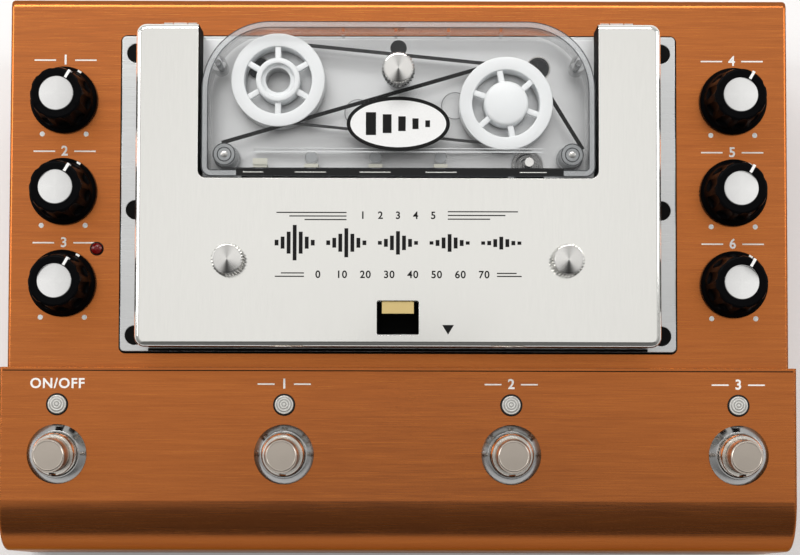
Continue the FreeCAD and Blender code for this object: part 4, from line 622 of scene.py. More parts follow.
class Palette:
    """The finishes that several pieces share, each made once when it is first asked for."""

    RECIPES = {
        "copper": BrushedShell(
            "copper_anodised",
            (0.64, 0.178, 0.021),
            (0.44, 0.108, 0.008),
            rough=0.25,
            contrast=1.1,
            depth=0.000009,
            seal=0.5,
            graze=0.72,
        ),
        "plate": BrushedShell("plate_brushed", (0.77, 0.78, 0.785), (0.66, 0.67, 0.675), 0.3, contrast=0.5),
        "tray": BrushedShell(
            "tray_brushed", (0.86, 0.87, 0.88), (0.80, 0.81, 0.82), 0.36, contrast=0.35, depth=0.000008
        ),
        "chrome": Plated("cover_chrome", (0.90, 0.895, 0.865), 0.09, 0.06, 0.0002, 0.000004),
        "bright": Plated("bright_plating", (0.88, 0.87, 0.85), 0.08, 0.05, 0.0001),
        "washer": Plated("washer_plating", (0.50, 0.50, 0.50), 0.12, 0.08, 0.0001),
        "steel": Plated("plain_steel", (0.56, 0.55, 0.53), 0.28, 0.18, 0.00008, 0.000006),
        "nickel": Plated("nickel_plating", (0.74, 0.71, 0.66), 0.18, 0.12, 0.0001),
        "brass": Plated("latch_brass", (0.86, 0.66, 0.30), 0.16, 0.12, 0.00012, 0.000006),
        "head": Plated("head_case", (0.10, 0.10, 0.105), 0.3, 0.15, 0.00015),
        "knob": Moulded("knob_black", (0.003, 0.003, 0.0035), 0.34, 700, 0.000006, 0.2, shine=0.02),
        "black": Moulded("satin_black", (0.008, 0.008, 0.0085), 0.45, 1500, 0.00002, edge=0.00015, shine=0.2),
        "base": Moulded("base_paint", (0.03, 0.03, 0.03), 0.5, 1800, 0.00004, edge=0.0003),
        "rubber": Moulded("black_rubber", (0.004, 0.004, 0.004), 0.75, 1300, 0.00005, edge=0.0002, shine=0.1),
        "reel": Moulded("reel_white", (0.92, 0.94, 0.95), 0.36, 1100, 0.00001, 0.03, glow=0.1, edge=0.0003),
        "board": Moulded("board_green", (0.02, 0.11, 0.055), 0.4, 900, 0.00003, 0.3),
        "tape": Moulded("tape_oxide", (0.004, 0.0035, 0.003), 0.35, 2600, 0.000004, 0.2, shine=0.08),
        "clear": ClearPlastic("cartridge_clear", (0.66, 0.68, 0.70)),
        "frosted": ClearPlastic("roller_frosted", (0.86, 0.89, 0.91), 0.3, 0.35, 0.3, 0.0002, 0.1),
        "moulded_rim": ClearPlastic("cartridge_rim", (0.74, 0.76, 0.78), 0.30, 0.4, 0.12, 0.0002, 0.06),
        "rim_line": ClearPlastic("cartridge_line", (0.03, 0.035, 0.04), 0.62, 0.3, 0.3, 0.0001, 0.2),
        "rib_line": ClearPlastic("cartridge_rib", (0.93, 0.95, 0.96), 0.7, 0.2, 0.2, 0.0001, 0.2),
        "gloss": Moulded("gloss_black", (0.004, 0.004, 0.0045), 0.2, 900, 0.000004, 0.2, shine=0.3),
        "ink_white": Print("ink_white", (0.985, 0.98, 0.965)),
        "ink_black": Print("ink_black", (0.006, 0.006, 0.006)),
        "badge_white": Print("badge_white", (0.93, 0.93, 0.925)),
        "felt": Felt("pressure_felt", (0.86, 0.85, 0.74)),
        "red": Moulded(
            "signal_red", (0.20, 0.003, 0.004), 0.2, 800, 0.00001, 0.4, coat=0.25, glow=0.2, shine=0.3
        ),
    }

    def __init__(self) -> None:
        """Start with nothing made."""
        self._made: dict[str, bpy.types.Material] = {}

    def __getitem__(self, key: str) -> bpy.types.Material:
        """A finish by its short name."""
        if key not in self._made:
            self._made[key] = self.RECIPES[key].make()
        return self._made[key]


# ---------------------------------------------------------------- hand tools


class Bench:
    """Modelling by operators, one piece at a time, in millimetres."""

    @staticmethod
    def clear() -> None:
        """Deselect everything."""
        for item in bpy.context.view_layer.objects:
            item.select_set(False)

    @classmethod
    def take(cls, *pieces: bpy.types.Object) -> None:
        """Select only these pieces; the first is the active one."""
        cls.clear()
        for piece in pieces:
            piece.select_set(True)
        bpy.context.view_layer.objects.active = pieces[0]

    @classmethod
    @contextmanager
    def editing(cls, piece: bpy.types.Object) -> Iterator[None]:
        """Edit mode on one piece, with everything in it selected.

        Args:
            piece: the piece to edit.

        Yields:
            Nothing; the mode is left at the end.
        """
        cls.take(piece)
        bpy.ops.object.mode_set(mode="EDIT")
        bpy.ops.mesh.select_all(action="SELECT")
        yield
        bpy.ops.object.mode_set(mode="OBJECT")

    @staticmethod
    def pick(piece: bpy.types.Object, kind: Element, wanted: Callable) -> None:
        """Select vertices or edges by a test, in edit mode.

        Args:
            piece: the piece in edit mode.
            kind: what is picked.
            wanted: a test on one of them.
        """
        bpy.ops.mesh.select_mode(type=kind.value)
        bpy.ops.mesh.select_all(action="DESELECT")
        mesh = bmesh.from_edit_mesh(piece.data)
        items = mesh.verts if kind is Element.VERTEX else mesh.edges
        mesh.normal_update()
        for item in [item for item in items if wanted(item)]:
            item.select_set(True)
        mesh.select_flush_mode()
        bmesh.update_edit_mesh(piece.data)

    @classmethod
    def turned(
        cls,
        name: str,
        profile: Sequence[tuple[float, float]],
        spot: tuple[float, float] = (0, 0),
        sides: int = 64,
    ) -> bpy.types.Object:
        """A solid of revolution about an upright axis, built ring by ring from a disc.

        Args:
            name: the piece's name.
            profile: radius and height of each ring, from the bottom middle outwards and up.
            spot: the axis.
            sides: facets round it.

        Returns:
            The piece.
        """
        cls.clear()
        across, along = spot
        radius, height = profile[0]
        bpy.ops.mesh.primitive_circle_add(
            vertices=sides, radius=radius, fill_type="NGON", location=(across, along, height)
        )
        piece = bpy.context.active_object
        piece.name = name
        cls.bake(piece)
        with cls.editing(piece):
            bpy.ops.mesh.select_mode(type="FACE")
            for next_radius, next_height in profile[1:]:
                lift = (0, 0, next_height - height)
                bpy.ops.mesh.extrude_region_move(TRANSFORM_OT_translate={"value": lift})
                share = next_radius / radius
                bpy.ops.transform.resize(value=(share, share, 1), center_override=(across, along, 0))
                radius, height = next_radius, next_height
            bpy.ops.mesh.select_all(action="SELECT")
            bpy.ops.mesh.normals_make_consistent(inside=False)
        return piece

    @classmethod
    def ring(
        cls,
        name: str,
        profile: Sequence[tuple[float, float]],
        spot: tuple[float, float] = (0, 0),
        sides: int = 64,
    ) -> bpy.types.Object:
        """A ring: a closed profile, spun about an upright axis.

        Args:
            name: the piece's name.
            profile: corners of the section, radius and height, in order.
            spot: the axis.
            sides: facets round it.

        Returns:
            The piece.
        """
        cls.clear()
        across, along = spot
        bpy.ops.mesh.primitive_circle_add(
            vertices=len(profile), radius=1, fill_type="NOTHING", location=(across, along, 0)
        )
        piece = bpy.context.active_object
        piece.name = name
        cls.bake(piece)
        with cls.editing(piece):
            mesh = bmesh.from_edit_mesh(piece.data)
            mesh.verts.ensure_lookup_table()
            for vertex, (radius, height) in zip(mesh.verts, profile):
                vertex.co = (across + radius, along, height)
            bmesh.update_edit_mesh(piece.data)
            bpy.ops.mesh.spin(
                steps=sides, angle=math.tau, center=(across, along, 0), axis=(0, 0, 1), use_auto_merge=False
            )
            bpy.ops.mesh.select_all(action="SELECT")
            bpy.ops.mesh.remove_doubles(threshold=0.0005)
            bpy.ops.mesh.normals_make_consistent(inside=False)
        return piece

    @classmethod
    def block(cls, name: str, low: Point, high: Point) -> bpy.types.Object:
        """A box between two corners.

        Args:
            name: the piece's name.
            low: lowest corner.
            high: highest corner.

        Returns:
            The piece.
        """
        cls.clear()
        middle = [(a + b) / 2 for a, b in zip(low, high)]
        bpy.ops.mesh.primitive_cube_add(size=1, location=middle)
        piece = bpy.context.active_object
        piece.name = name
        piece.scale = [b - a for a, b in zip(low, high)]
        cls.bake(piece)
        return piece

    @classmethod
    def bake(cls, piece: bpy.types.Object) -> None:
        """Put a piece's place, turn and scale into its mesh."""
        cls.take(piece)
        bpy.ops.object.transform_apply(location=True, rotation=True, scale=True)

    @classmethod
    def modified(cls, piece: bpy.types.Object, kind: str, **settings: object) -> bpy.types.Object:
        """Add a modifier and apply it.

        Args:
            piece: the piece to change.
            kind: the modifier's type.
            settings: its properties.

        Returns:
            The same piece.
        """
        modifier = piece.modifiers.new(kind.lower(), kind)
        for key, value in settings.items():
            setattr(modifier, key, value)
        cls.take(piece)
        bpy.ops.object.modifier_apply(modifier=modifier.name)
        return piece

    @classmethod
    def softened(
        cls, piece: bpy.types.Object, width: float, steps: int = 2, angle: float = 30
    ) -> bpy.types.Object:
        """Round a piece's sharp edges with a bevel.

        Args:
            piece: the piece.
            width: width of the round.
            steps: facets across it.
            angle: the least turn, in degrees, that counts as sharp.

        Returns:
            The same piece.
        """
        return cls.modified(
            piece, "BEVEL", width=width, segments=steps, limit_method="ANGLE", angle_limit=math.radians(angle)
        )

    @classmethod
    def cut(
        cls, piece: bpy.types.Object, tool: bpy.types.Object, keep: Keep = Keep.OUTSIDE
    ) -> bpy.types.Object:
        """Cut one piece with another and throw the tool away.

        Args:
            piece: the piece that stays.
            tool: the piece that cuts.
            keep: what is left of the first piece.

        Returns:
            The cut piece.
        """
        cls.modified(piece, "BOOLEAN", operation=keep.value, object=tool, solver="EXACT")
        bpy.data.objects.remove(tool)
        return piece

    @classmethod
    def joined(cls, name: str, pieces: Sequence[bpy.types.Object]) -> bpy.types.Object:
        """Join pieces into one.

        Args:
            name: the name of the result.
            pieces: what is joined.

        Returns:
            The joined piece.
        """
        cls.take(*pieces)
        if len(pieces) > 1:
            bpy.ops.object.join()
        pieces[0].name = name
        return pieces[0]

    @classmethod
    def copy(cls, piece: bpy.types.Object, name: str, move: Point, turn: float = 0.0) -> bpy.types.Object:
        """Copy a piece, with its own mesh, turned about the upright axis and then moved.

        Args:
            piece: the piece to copy.
            name: the copy's name.
            move: how far it is moved.
            turn: turn in degrees.

        Returns:
            The copy.
        """
        cls.take(piece)
        bpy.ops.object.duplicate(linked=False)
        twin = bpy.context.active_object
        twin.name = name
        twin.rotation_euler = (0, 0, math.radians(turn))
        twin.location = move
        cls.bake(twin)
        return twin

    @classmethod
    def round_the_axis(cls, piece: bpy.types.Object, count: int) -> bpy.types.Object:
        """Repeat a piece round the upright axis and join the copies.

        Args:
            piece: the first copy.
            count: how many there are.

        Returns:
            The joined copies.
        """
        name = piece.name
        copies = [
            cls.copy(piece, f"{name}_{turn}", (0, 0, 0), 360 * turn / count) for turn in range(1, count)
        ]
        return cls.joined(name, [piece, *copies])

    @classmethod
    def rounded_plate(
        cls,
        name: str,
        sides: tuple[float, float, float, float],
        level: float,
        thick: float,
        corner: float,
        steps: int = 6,
    ) -> bpy.types.Object:
        """A flat plate with round corners.

        Args:
            name: the piece's name.
            sides: left, right, near and far side.
            level: its underside.
            thick: its thickness.
            corner: corner radius.
            steps: facets round a corner.

        Returns:
            The piece.
        """
        left, right, near, far = sides
        piece = cls.block(name, (left, near, level), (right, far, level + thick))
        with cls.editing(piece):
            half = thick / 2
            cls.pick(piece, Element.EDGE, lambda edge: abs(edge.verts[0].co.z - edge.verts[1].co.z) > half)
            bpy.ops.mesh.bevel(offset=corner, offset_type="OFFSET", segments=steps, affect="EDGES")
        return piece

    @classmethod
    def written(cls, name: str, text: str, height: float, spot: Point, turn: float = 0.0) -> bpy.types.Object:
        """Printed figures as a thin mesh, centred on a spot.

        Args:
            name: the piece's name.
            text: what is printed.
            height: height of a figure.
            spot: the middle of the text.
            turn: turn in degrees.

        Returns:
            The piece.
        """
        cls.clear()
        bpy.ops.object.text_add(location=spot, rotation=(0, 0, math.radians(turn)))
        piece = bpy.context.active_object
        piece.data.body = text
        piece.data.align_x = "CENTER"
        piece.data.align_y = "CENTER"
        piece.data.size = height / 0.72
        piece.data.extrude = 0.01
        piece.data.offset = height * 0.03
        piece.data.space_character = 1.12
        cls.take(piece)
        bpy.ops.object.convert(target="MESH")
        piece = bpy.context.active_object
        piece.name = name
        cls.bake(piece)
        return piece


class Fitter:
    """Finishes pieces: place, shading, material and body."""

    def __init__(self, palette: Palette) -> None:
        """Keep the palette.

        Args:
            palette: the shared finishes.
        """
        self.palette = palette
        self.done: list[str] = []

    def material(self, finish: str | bpy.types.Material) -> bpy.types.Material:
        """A material, from itself or from its short name."""
        return self.palette[finish] if isinstance(finish, str) else finish

    def fit(
        self,
        piece: bpy.types.Object,
        finish: str | bpy.types.Material,
        body: str,
        slot: str,
        replaces: Sequence[str] = (),
        sharp: float = 32,
    ) -> bpy.types.Object:
        """Bake a piece into the row frame and hand it over.

        Args:
            piece: the piece, modelled in millimetres.
            finish: its material.
            body: the body that it moves with.
            slot: the record's material slot; not used.
            replaces: nodes that it stands for.
            sharp: edges that turn by more than this many degrees stay sharp.

        Returns:
            The piece.
        """
        Bench.bake(piece)
        piece.data.transform(LAYOUT.matrix())
        Bench.take(piece)
        bpy.ops.object.shade_smooth_by_angle(angle=math.radians(sharp))
        piece.data.materials.clear()
        piece.data.materials.append(self.material(finish))
        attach(piece, body)
        if replaces:
            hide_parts(*replaces)
        self.done.append(piece.name)
        LOG.info("piece %s on %s, %d faces", piece.name, body, len(piece.data.polygons))
        return piece

    def dress(
        self, nodes: dict[str, bpy.types.Object], names: Sequence[str], finish: str | bpy.types.Material
    ) -> None:
        """Give solids a finish.

        Args:
            nodes: the solids by name.
            names: which of them.
            finish: the material.
        """
        for name in names:
            node = nodes[name]
            node.data.materials.clear()
            node.data.materials.append(self.material(finish))


def deck_point(across: float, along: float, lift: float) -> Point:
    """A point of the deck frame in metres of the row frame.

    Args:
        across: x in millimetres.
        along: v in millimetres.
        lift: n in millimetres.

    Returns:
        The point.
    """
    return tuple(LAYOUT.matrix() @ Vector((across, along, lift)))


# ---------------------------------------------------------------- sub-assemblies


@dataclass
class Casing:
    """Shells, base, feet, deck plate and what is printed on the decks."""

    fitter: Fitter
    nodes: dict[str, bpy.types.Object]
    dot_radius: float = 0.78
    dot_across: float = 6.7
    dot_back: float = 10.3
    figure: float = 3.0
    rule: float = 0.42
    ink: float = 0.02
    knob_label_back: float = 12.4
    knob_label_inset: float = 0.2
    knob_label_half: float = 9.5
    pedal_label_along: float = -4.5
    pedal_label_half: float = 8.0
    seam_half: float = 119.0
    seam_near: float = -0.62
    seam_far: float = -0.3

    def build(self) -> None:
        """Dress the solids and print the marks."""
        fit = self.fitter
        fit.dress(self.nodes, ["front_shell", "rear_shell"], "copper")
        fit.dress(self.nodes, ["base_plate"], "base")
        fit.dress(self.nodes, ["rubber_feet", "deck_gasket", "deck_grommets"], "rubber")
        fit.dress(self.nodes, ["deck_plate"], "plate")
        fit.dress(self.nodes, ["deck_tray", "thumbscrew_posts"], "tray")
        fit.dress(self.nodes, ["circuit_boards"], "board")
        fit.dress(self.nodes, ["hinge_pins", "latch_keeper", "potentiometers", "base_screws"], "steel")
        self._dots()
        self._knob_labels()
        self._pedal_labels()
        self._seam()

    def _dots(self) -> None:
        """End dots of each control."""
        dots = []
        for side in (-1, 1):
            for _, along in LAYOUT.knob_rows:
                for hand in (-1, 1):
                    spot = (side * LAYOUT.knob_across + hand * self.dot_across, along - self.dot_back)
                    profile = [(self.dot_radius, -self.ink), (self.dot_radius, self.ink)]
                    dots.append(Bench.turned("dot", profile, spot, 20))
        piece = Bench.joined("control_end_dots", dots)
        self.fitter.fit(piece, "ink_white", "case", "case_shell")

    def _label(
        self, text: str, across: float, along: float, half: float, lift: float
    ) -> list[bpy.types.Object]:
        """A figure between two short rules.

        Args:
            text: the figure.
            across: middle of the label.
            along: middle of the label.
            half: half its whole width.
            lift: the surface that it is printed on.

        Returns:
            The printed pieces.
        """
        gap = self.figure * (0.55 + 0.42 * len(text))
        rules = []
        for hand in (-1, 1):
            ends = sorted((across + hand * gap, across + hand * half))
            low = (ends[0], along - self.rule / 2, lift - self.ink)
            rules.append(Bench.block("rule", low, (ends[1], along + self.rule / 2, lift + self.ink)))
        return [Bench.written("figure", text, self.figure, (across, along, lift + self.ink / 2)), *rules]

    def _knob_labels(self) -> None:
        """Plain numbers above the controls."""
        marks = []
        figures = {-1: ("1", "2", "3"), 1: ("4", "5", "6")}
        for side in (-1, 1):
            across = side * (LAYOUT.knob_across - self.knob_label_inset)
            for text, (_, along) in zip(figures[side], LAYOUT.knob_rows):
                marks += self._label(text, across, along + self.knob_label_back, self.knob_label_half, 0.0)
        self.fitter.fit(Bench.joined("control_numbers", marks), "ink_white", "case", "case_shell")

    def _seam(self) -> None:
        """Painted shade: a black strip on the front deck, standing for the dark gap where the front shell
        folds down to the rear deck.
        """
        lift = LAYOUT.front_deck
        low = (-self.seam_half, self.seam_near, lift - 0.05)
        strip = Bench.block("painted_seam_shade", low, (self.seam_half, self.seam_far, lift + 0.01))
        self.fitter.fit(strip, "rubber", "case", "case_shell")

    def _pedal_labels(self) -> None:
        """Plain marks above the foot switches."""
        marks = []
        along, lift = self.pedal_label_along, LAYOUT.front_deck
        for text, across in zip(("ON/OFF", "1", "2", "3"), LAYOUT.pedal_acrosses):
            if len(text) > 1:
                marks.append(Bench.written("figure", text, self.figure, (across, along, lift + self.ink / 2)))
            else:
                marks += self._label(text, across, along, self.pedal_label_half, lift)
        self.fitter.fit(Bench.joined("pedal_marks", marks), "ink_white", "case", "case_shell")


@dataclass
class Knob:
    """A fluted control knob with a flared skirt, a spun metal cap and a white pointer."""

    fitter: Fitter
    radius: float = 8.05
    top: float = 17.0
    skirt: float = 10.2
    base: float = 0.8
    cap: float = 5.15
    flutes: int = 10
    flute_radius: float = 2.9
    flute_depth: float = 0.6
    pointer_turn: float = -30.0
    pointer_half: float = 0.42
    tick_half: float = 0.62

    def _body(self) -> bpy.types.Object:
        """The black moulding, flutes cut and edges rounded."""
        profile = [
            (self.skirt - 0.5, self.base),
            (self.skirt, self.base + 0.4),
            (self.skirt, 1.9),
            (self.skirt - 0.35, 2.5),
            (9.25, 2.95),
            (8.75, 4.2),
            (8.45, 6.4),
            (8.25, 9.5),
            (self.radius, 15.0),
            (self.radius - 0.35, self.top - 0.35),
            (self.radius - 0.95, self.top),
            (self.cap + 0.22, self.top),
            (self.cap + 0.1, self.top - 0.3),
        ]
        body = Bench.turned("knob_body", profile, sides=120)
        axis = self.radius + self.flute_radius - self.flute_depth
        flute = Bench.turned("flute", [(self.flute_radius, 4.4), (self.flute_radius, 20.0)], (0, axis), 40)
        flute = Bench.softened(flute, 1.4, 5)
        return Bench.softened(Bench.cut(body, Bench.round_the_axis(flute, self.flutes)), 0.3, 3, 30)

    def _pointer(self) -> bpy.types.Object:
        """The white line over the top and down the side, and the tick on the skirt."""
        half, tick_half = self.pointer_half, self.tick_half
        low = (-half, self.cap + 0.25, self.top - 0.1)
        line = Bench.block("line", low, (half, self.radius - 0.35, self.top + 0.03))
        low = (-half, self.radius - 0.6, 13.8)
        side = Bench.block("side", low, (half, self.radius + 0.02, self.top - 0.25))
        low = (-tick_half, self.skirt - 1.25, 2.3)
        tick = Bench.block("tick", low, (tick_half, self.skirt - 0.12, 2.78))
        return Bench.joined("knob_pointer", [line, side, tick])

    def build(self, rows: Sequence[tuple[str, float, float]]) -> None:
        """Model one knob and set a copy on each control.

        Args:
            rows: node name and place of each control.
        """
        body = self._body()
        cap_profile = [
            (self.cap, self.top - 0.5),
            (self.cap, self.top - 0.06),
            (self.cap - 0.16, self.top + 0.08),
            (self.cap - 0.5, self.top + 0.04),
            (0.05, self.top - 0.02),
        ]
        cap = Bench.turned("knob_cap", cap_profile, sides=72)
        pointer = self._pointer()
        for name, across, along in rows:
            place = (across, along, 0)
            shell = Bench.copy(body, f"{name}_body", place, self.pointer_turn)
            self.fitter.fit(shell, "knob", name, "knob_black", [name])
            disc = Bench.copy(cap, f"{name}_cap", place, self.pointer_turn)
            centre = deck_point(across, along, self.top)
            # The spun cap carries painted reflection wedges in its colour.
            spun = Turned(f"{name}_spun", (0.99, 0.99, 0.99), centre, 0.1, 0.0003, 0.000002, wedge=0.6)
            self.fitter.fit(disc, spun.make(), name, "knob_black")
            mark = Bench.copy(pointer, f"{name}_pointer", place, self.pointer_turn)
            self.fitter.fit(mark, "ink_white", name, "knob_black")
        for item in (body, cap, pointer):
            bpy.data.objects.remove(item)


@dataclass
class Pedals:
    """Foot switches with threaded bushes, conical washers, buttons and lamps."""

    fitter: Fitter
    nodes: dict[str, bpy.types.Object]
    deck: float = LAYOUT.front_deck
    bush: float = 6.0
    bore: float = 5.06
    bush_height: float = 7.6
    pitch: float = 0.75
    button: float = 5.0
    button_top: float = 16.3
    acrosses: tuple[float, ...] = LAYOUT.pedal_acrosses
    along: float = -25.6
    lamp_along: float = -10.7
    signal: tuple[float, float] = (-91.8, 36.6)

    def _bush(self) -> bpy.types.Object:
        """The bush above the deck: thread, chamfer, bore and keyway."""
        top = self.deck + self.bush_height + 0.02
        low = self.deck + 0.1
        valley, crest = self.bush + 0.04, self.bush + 0.34
        outside = [(valley, low)]
        turns = int((top - 0.7 - low) / self.pitch)
        for turn in range(turns):
            level = low + turn * self.pitch
            outside += [(valley, level + 0.12), (crest, level + 0.42), (crest, level + 0.52)]
        outside += [(valley, top - 0.45), (self.bush - 0.4, top)]
        section = [(self.bore, low), *outside, (self.bore + 0.12, top), (self.bore, top - 0.12)]
        bush = Bench.ring("bush", section, sides=72)
        key = Bench.block("key", (-1.0, -7.2, self.deck - 1), (1.0, -5.3, top + 1))
        return Bench.cut(bush, key)

    def build(self) -> None:
        """Model one of each piece and set four copies."""
        fit = self.fitter
        bush = self._bush()
        deck = self.deck
        washer = Bench.ring(
            "washer",
            [(6.45, deck), (8.95, deck), (8.98, deck + 0.25), (7.35, deck + 2.05), (7.05, deck + 2.3),
             (6.75, deck + 2.3), (6.5, deck + 2.05)],
            sides=96,
        )
        # Painted shade: a thin black ring fills the gap between bush and washer.
        section = [(6.36, deck), (6.46, deck), (6.46, deck + 0.9), (6.36, deck + 0.9)]
        gap = Bench.ring("gap", section, sides=64)
        top = deck + self.button_top
        radius = self.button
        cap = Bench.turned(
            "button",
            [
                (radius - 0.1, -0.55),
                (radius, -0.4),
                (radius, top - 1.0),
                (radius - 0.08, top - 0.62),
                (radius - 0.5, top - 0.12),
                (radius - 0.72, top),
                (radius - 0.86, top - 0.1),
                (0.05, top - 0.06),
            ],
            sides=72,
        )
        for row, across in enumerate(self.acrosses, start=1):
            place = (across, self.along, 0)
            turned = Bench.copy(bush, f"pedal_bush_{row}", place)
            fit.fit(turned, "nickel", "case", "pedal_metal")
            fit.fit(Bench.copy(washer, f"pedal_washer_{row}", place), "washer", "case", "polished_chrome")
            fit.fit(Bench.copy(gap, f"pedal_gap_{row}", place), "black", "case", "black_plastic")
            centre = deck_point(across, self.along, top)
            face = Turned(f"button_face_{row}", (0.62, 0.55, 0.48), centre, 0.34, 0.0005)
            piece = Bench.copy(cap, f"pedal_cap_{row}", place)
            fit.fit(piece, face.make(), f"pedal_button_{row}", "pedal_metal", [f"pedal_button_{row}"])
        first = bpy.data.objects["pedal_washer_1"]
        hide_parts("pedal_bezels")
        for item in (bush, washer, gap, cap):
            bpy.data.objects.remove(item)
        fit.dress(self.nodes, ["pedal_switches"], "nickel")
        self._lamps()

    def _lamps(self) -> None:
        """Ribbed lenses in black rings, and the red lamp."""
        fit = self.fitter
        deck = self.deck
        for row, across in enumerate(self.acrosses, start=1):
            spot = (across, self.lamp_along)
            lens = Bench.turned(
                f"lamp_lens_{row}",
                [(2.8, deck - 3.0), (2.86, deck + 0.35), (2.7, deck + 0.62), (2.2, deck + 0.82),
                 (1.2, deck + 0.95), (0.05, deck + 1.0)],
                spot,
                48,
            )
            ribs = RibbedLens(f"lens_{row}", (0.75, 0.74, 0.70), deck_point(across, self.lamp_along, deck))
            replaced = ["status_lamps"] if row == 1 else []
            fit.fit(lens, ribs.make(), "case", "clear_lens", replaced)
            ring = Bench.ring(
                f"lamp_ring_{row}",
                [
                    (2.88, deck - 0.05),
                    (3.35, deck - 0.05),
                    (3.35, deck + 0.1),
                    (3.2, deck + 0.3),
                    (2.9, deck + 0.35),
                ],
                spot,
                48,
            )
            fit.fit(ring, "black", "case", "black_plastic")
        profile = [(1.7, -3.5), (1.75, 0.3), (1.55, 0.75), (1.1, 1.05), (0.5, 1.2), (0.04, 1.22)]
        lens = Bench.turned("signal_lens", profile, self.signal, 40)
        fit.fit(lens, "red", "case", "red_lens", ["signal_lamp"])
        section = [(1.8, -0.05), (2.15, -0.05), (2.1, 0.14), (1.85, 0.2)]
        ring = Bench.ring("signal_ring", section, self.signal, 40)
        fit.fit(ring, "black", "case", "black_plastic")


@dataclass
class Thumbscrew:
    """A knurled screw with a shallow cone on top."""

    fitter: Fitter
    radius: float = 4.9
    height: float = 8.1
    lift: float = 0.15
    teeth: int = 30
    tooth: float = 0.5
    shank: float = 1.95
    reach: float = 9.0

    def _head(self) -> bpy.types.Object:
        """The head, with teeth pressed into its side."""
        low = self.lift
        top = low + self.height
        inner = self.radius - self.tooth
        profile = [
            (inner - 0.35, low),
            (inner - 0.1, low + 0.35),
            (self.radius, low + 0.6),
            (self.radius, top - 0.55),
            (self.radius - 0.2, top - 0.3),
            (inner - 0.1, top - 0.06),
            (inner - 0.3, top),
            (0.05, top + 0.32),
        ]
        head = Bench.turned("screw_head", profile, sides=2 * self.teeth)
        step = math.tau / (2 * self.teeth)

        def valley(vertex: bmesh.types.BMVert) -> bool:
            """Every second upright line of the knurled band."""
            angle = math.atan2(vertex.co.y, vertex.co.x)
            odd = round(angle / step) % 2 == 1
            return odd and math.hypot(vertex.co.x, vertex.co.y) > self.radius - 0.25

        with Bench.editing(head):
            Bench.pick(head, Element.VERTEX, valley)
            share = (self.radius - self.tooth * 1.6) / self.radius
            bpy.ops.transform.resize(value=(share, share, 1), center_override=(0, 0, 0))
        profile = [(self.shank - 0.3, -self.reach), (self.shank, -self.reach + 0.5), (self.shank, low)]
        shank = Bench.turned("screw_shank", profile, sides=32)
        return Bench.joined("thumbscrew", [head, shank])

    def build(self, rows: Sequence[tuple[str, float, float, float]]) -> None:
        """Model one screw and set a copy on each seat.

        Args:
            rows: node name, place and seat of each screw.
        """
        screw = self._head()
        for name, across, along, seat in rows:
            piece = Bench.copy(screw, f"{name}_knurled", (across, along, seat))
            self.fitter.fit(piece, "bright", name, "polished_chrome", [name], sharp=24)
            level = seat + self.lift + self.height
            profile = [(4.05, level + 0.02), (4.0, level + 0.06), (0.05, level + 0.38)]
            cone = Bench.turned(f"{name}_face", profile, (across, along), 64)
            centre = deck_point(across, along, level)
            # The cone carries painted reflection wedges and painted shade, darkest towards the front.
            spun = Turned(f"{name}_spun", (0.93, 0.92, 0.90), centre, 0.2, 0.0005, wedge=0.5, shade=0.95)
            self.fitter.fit(cone, spun.make(), name, "polished_chrome")
        bpy.data.objects.remove(screw)


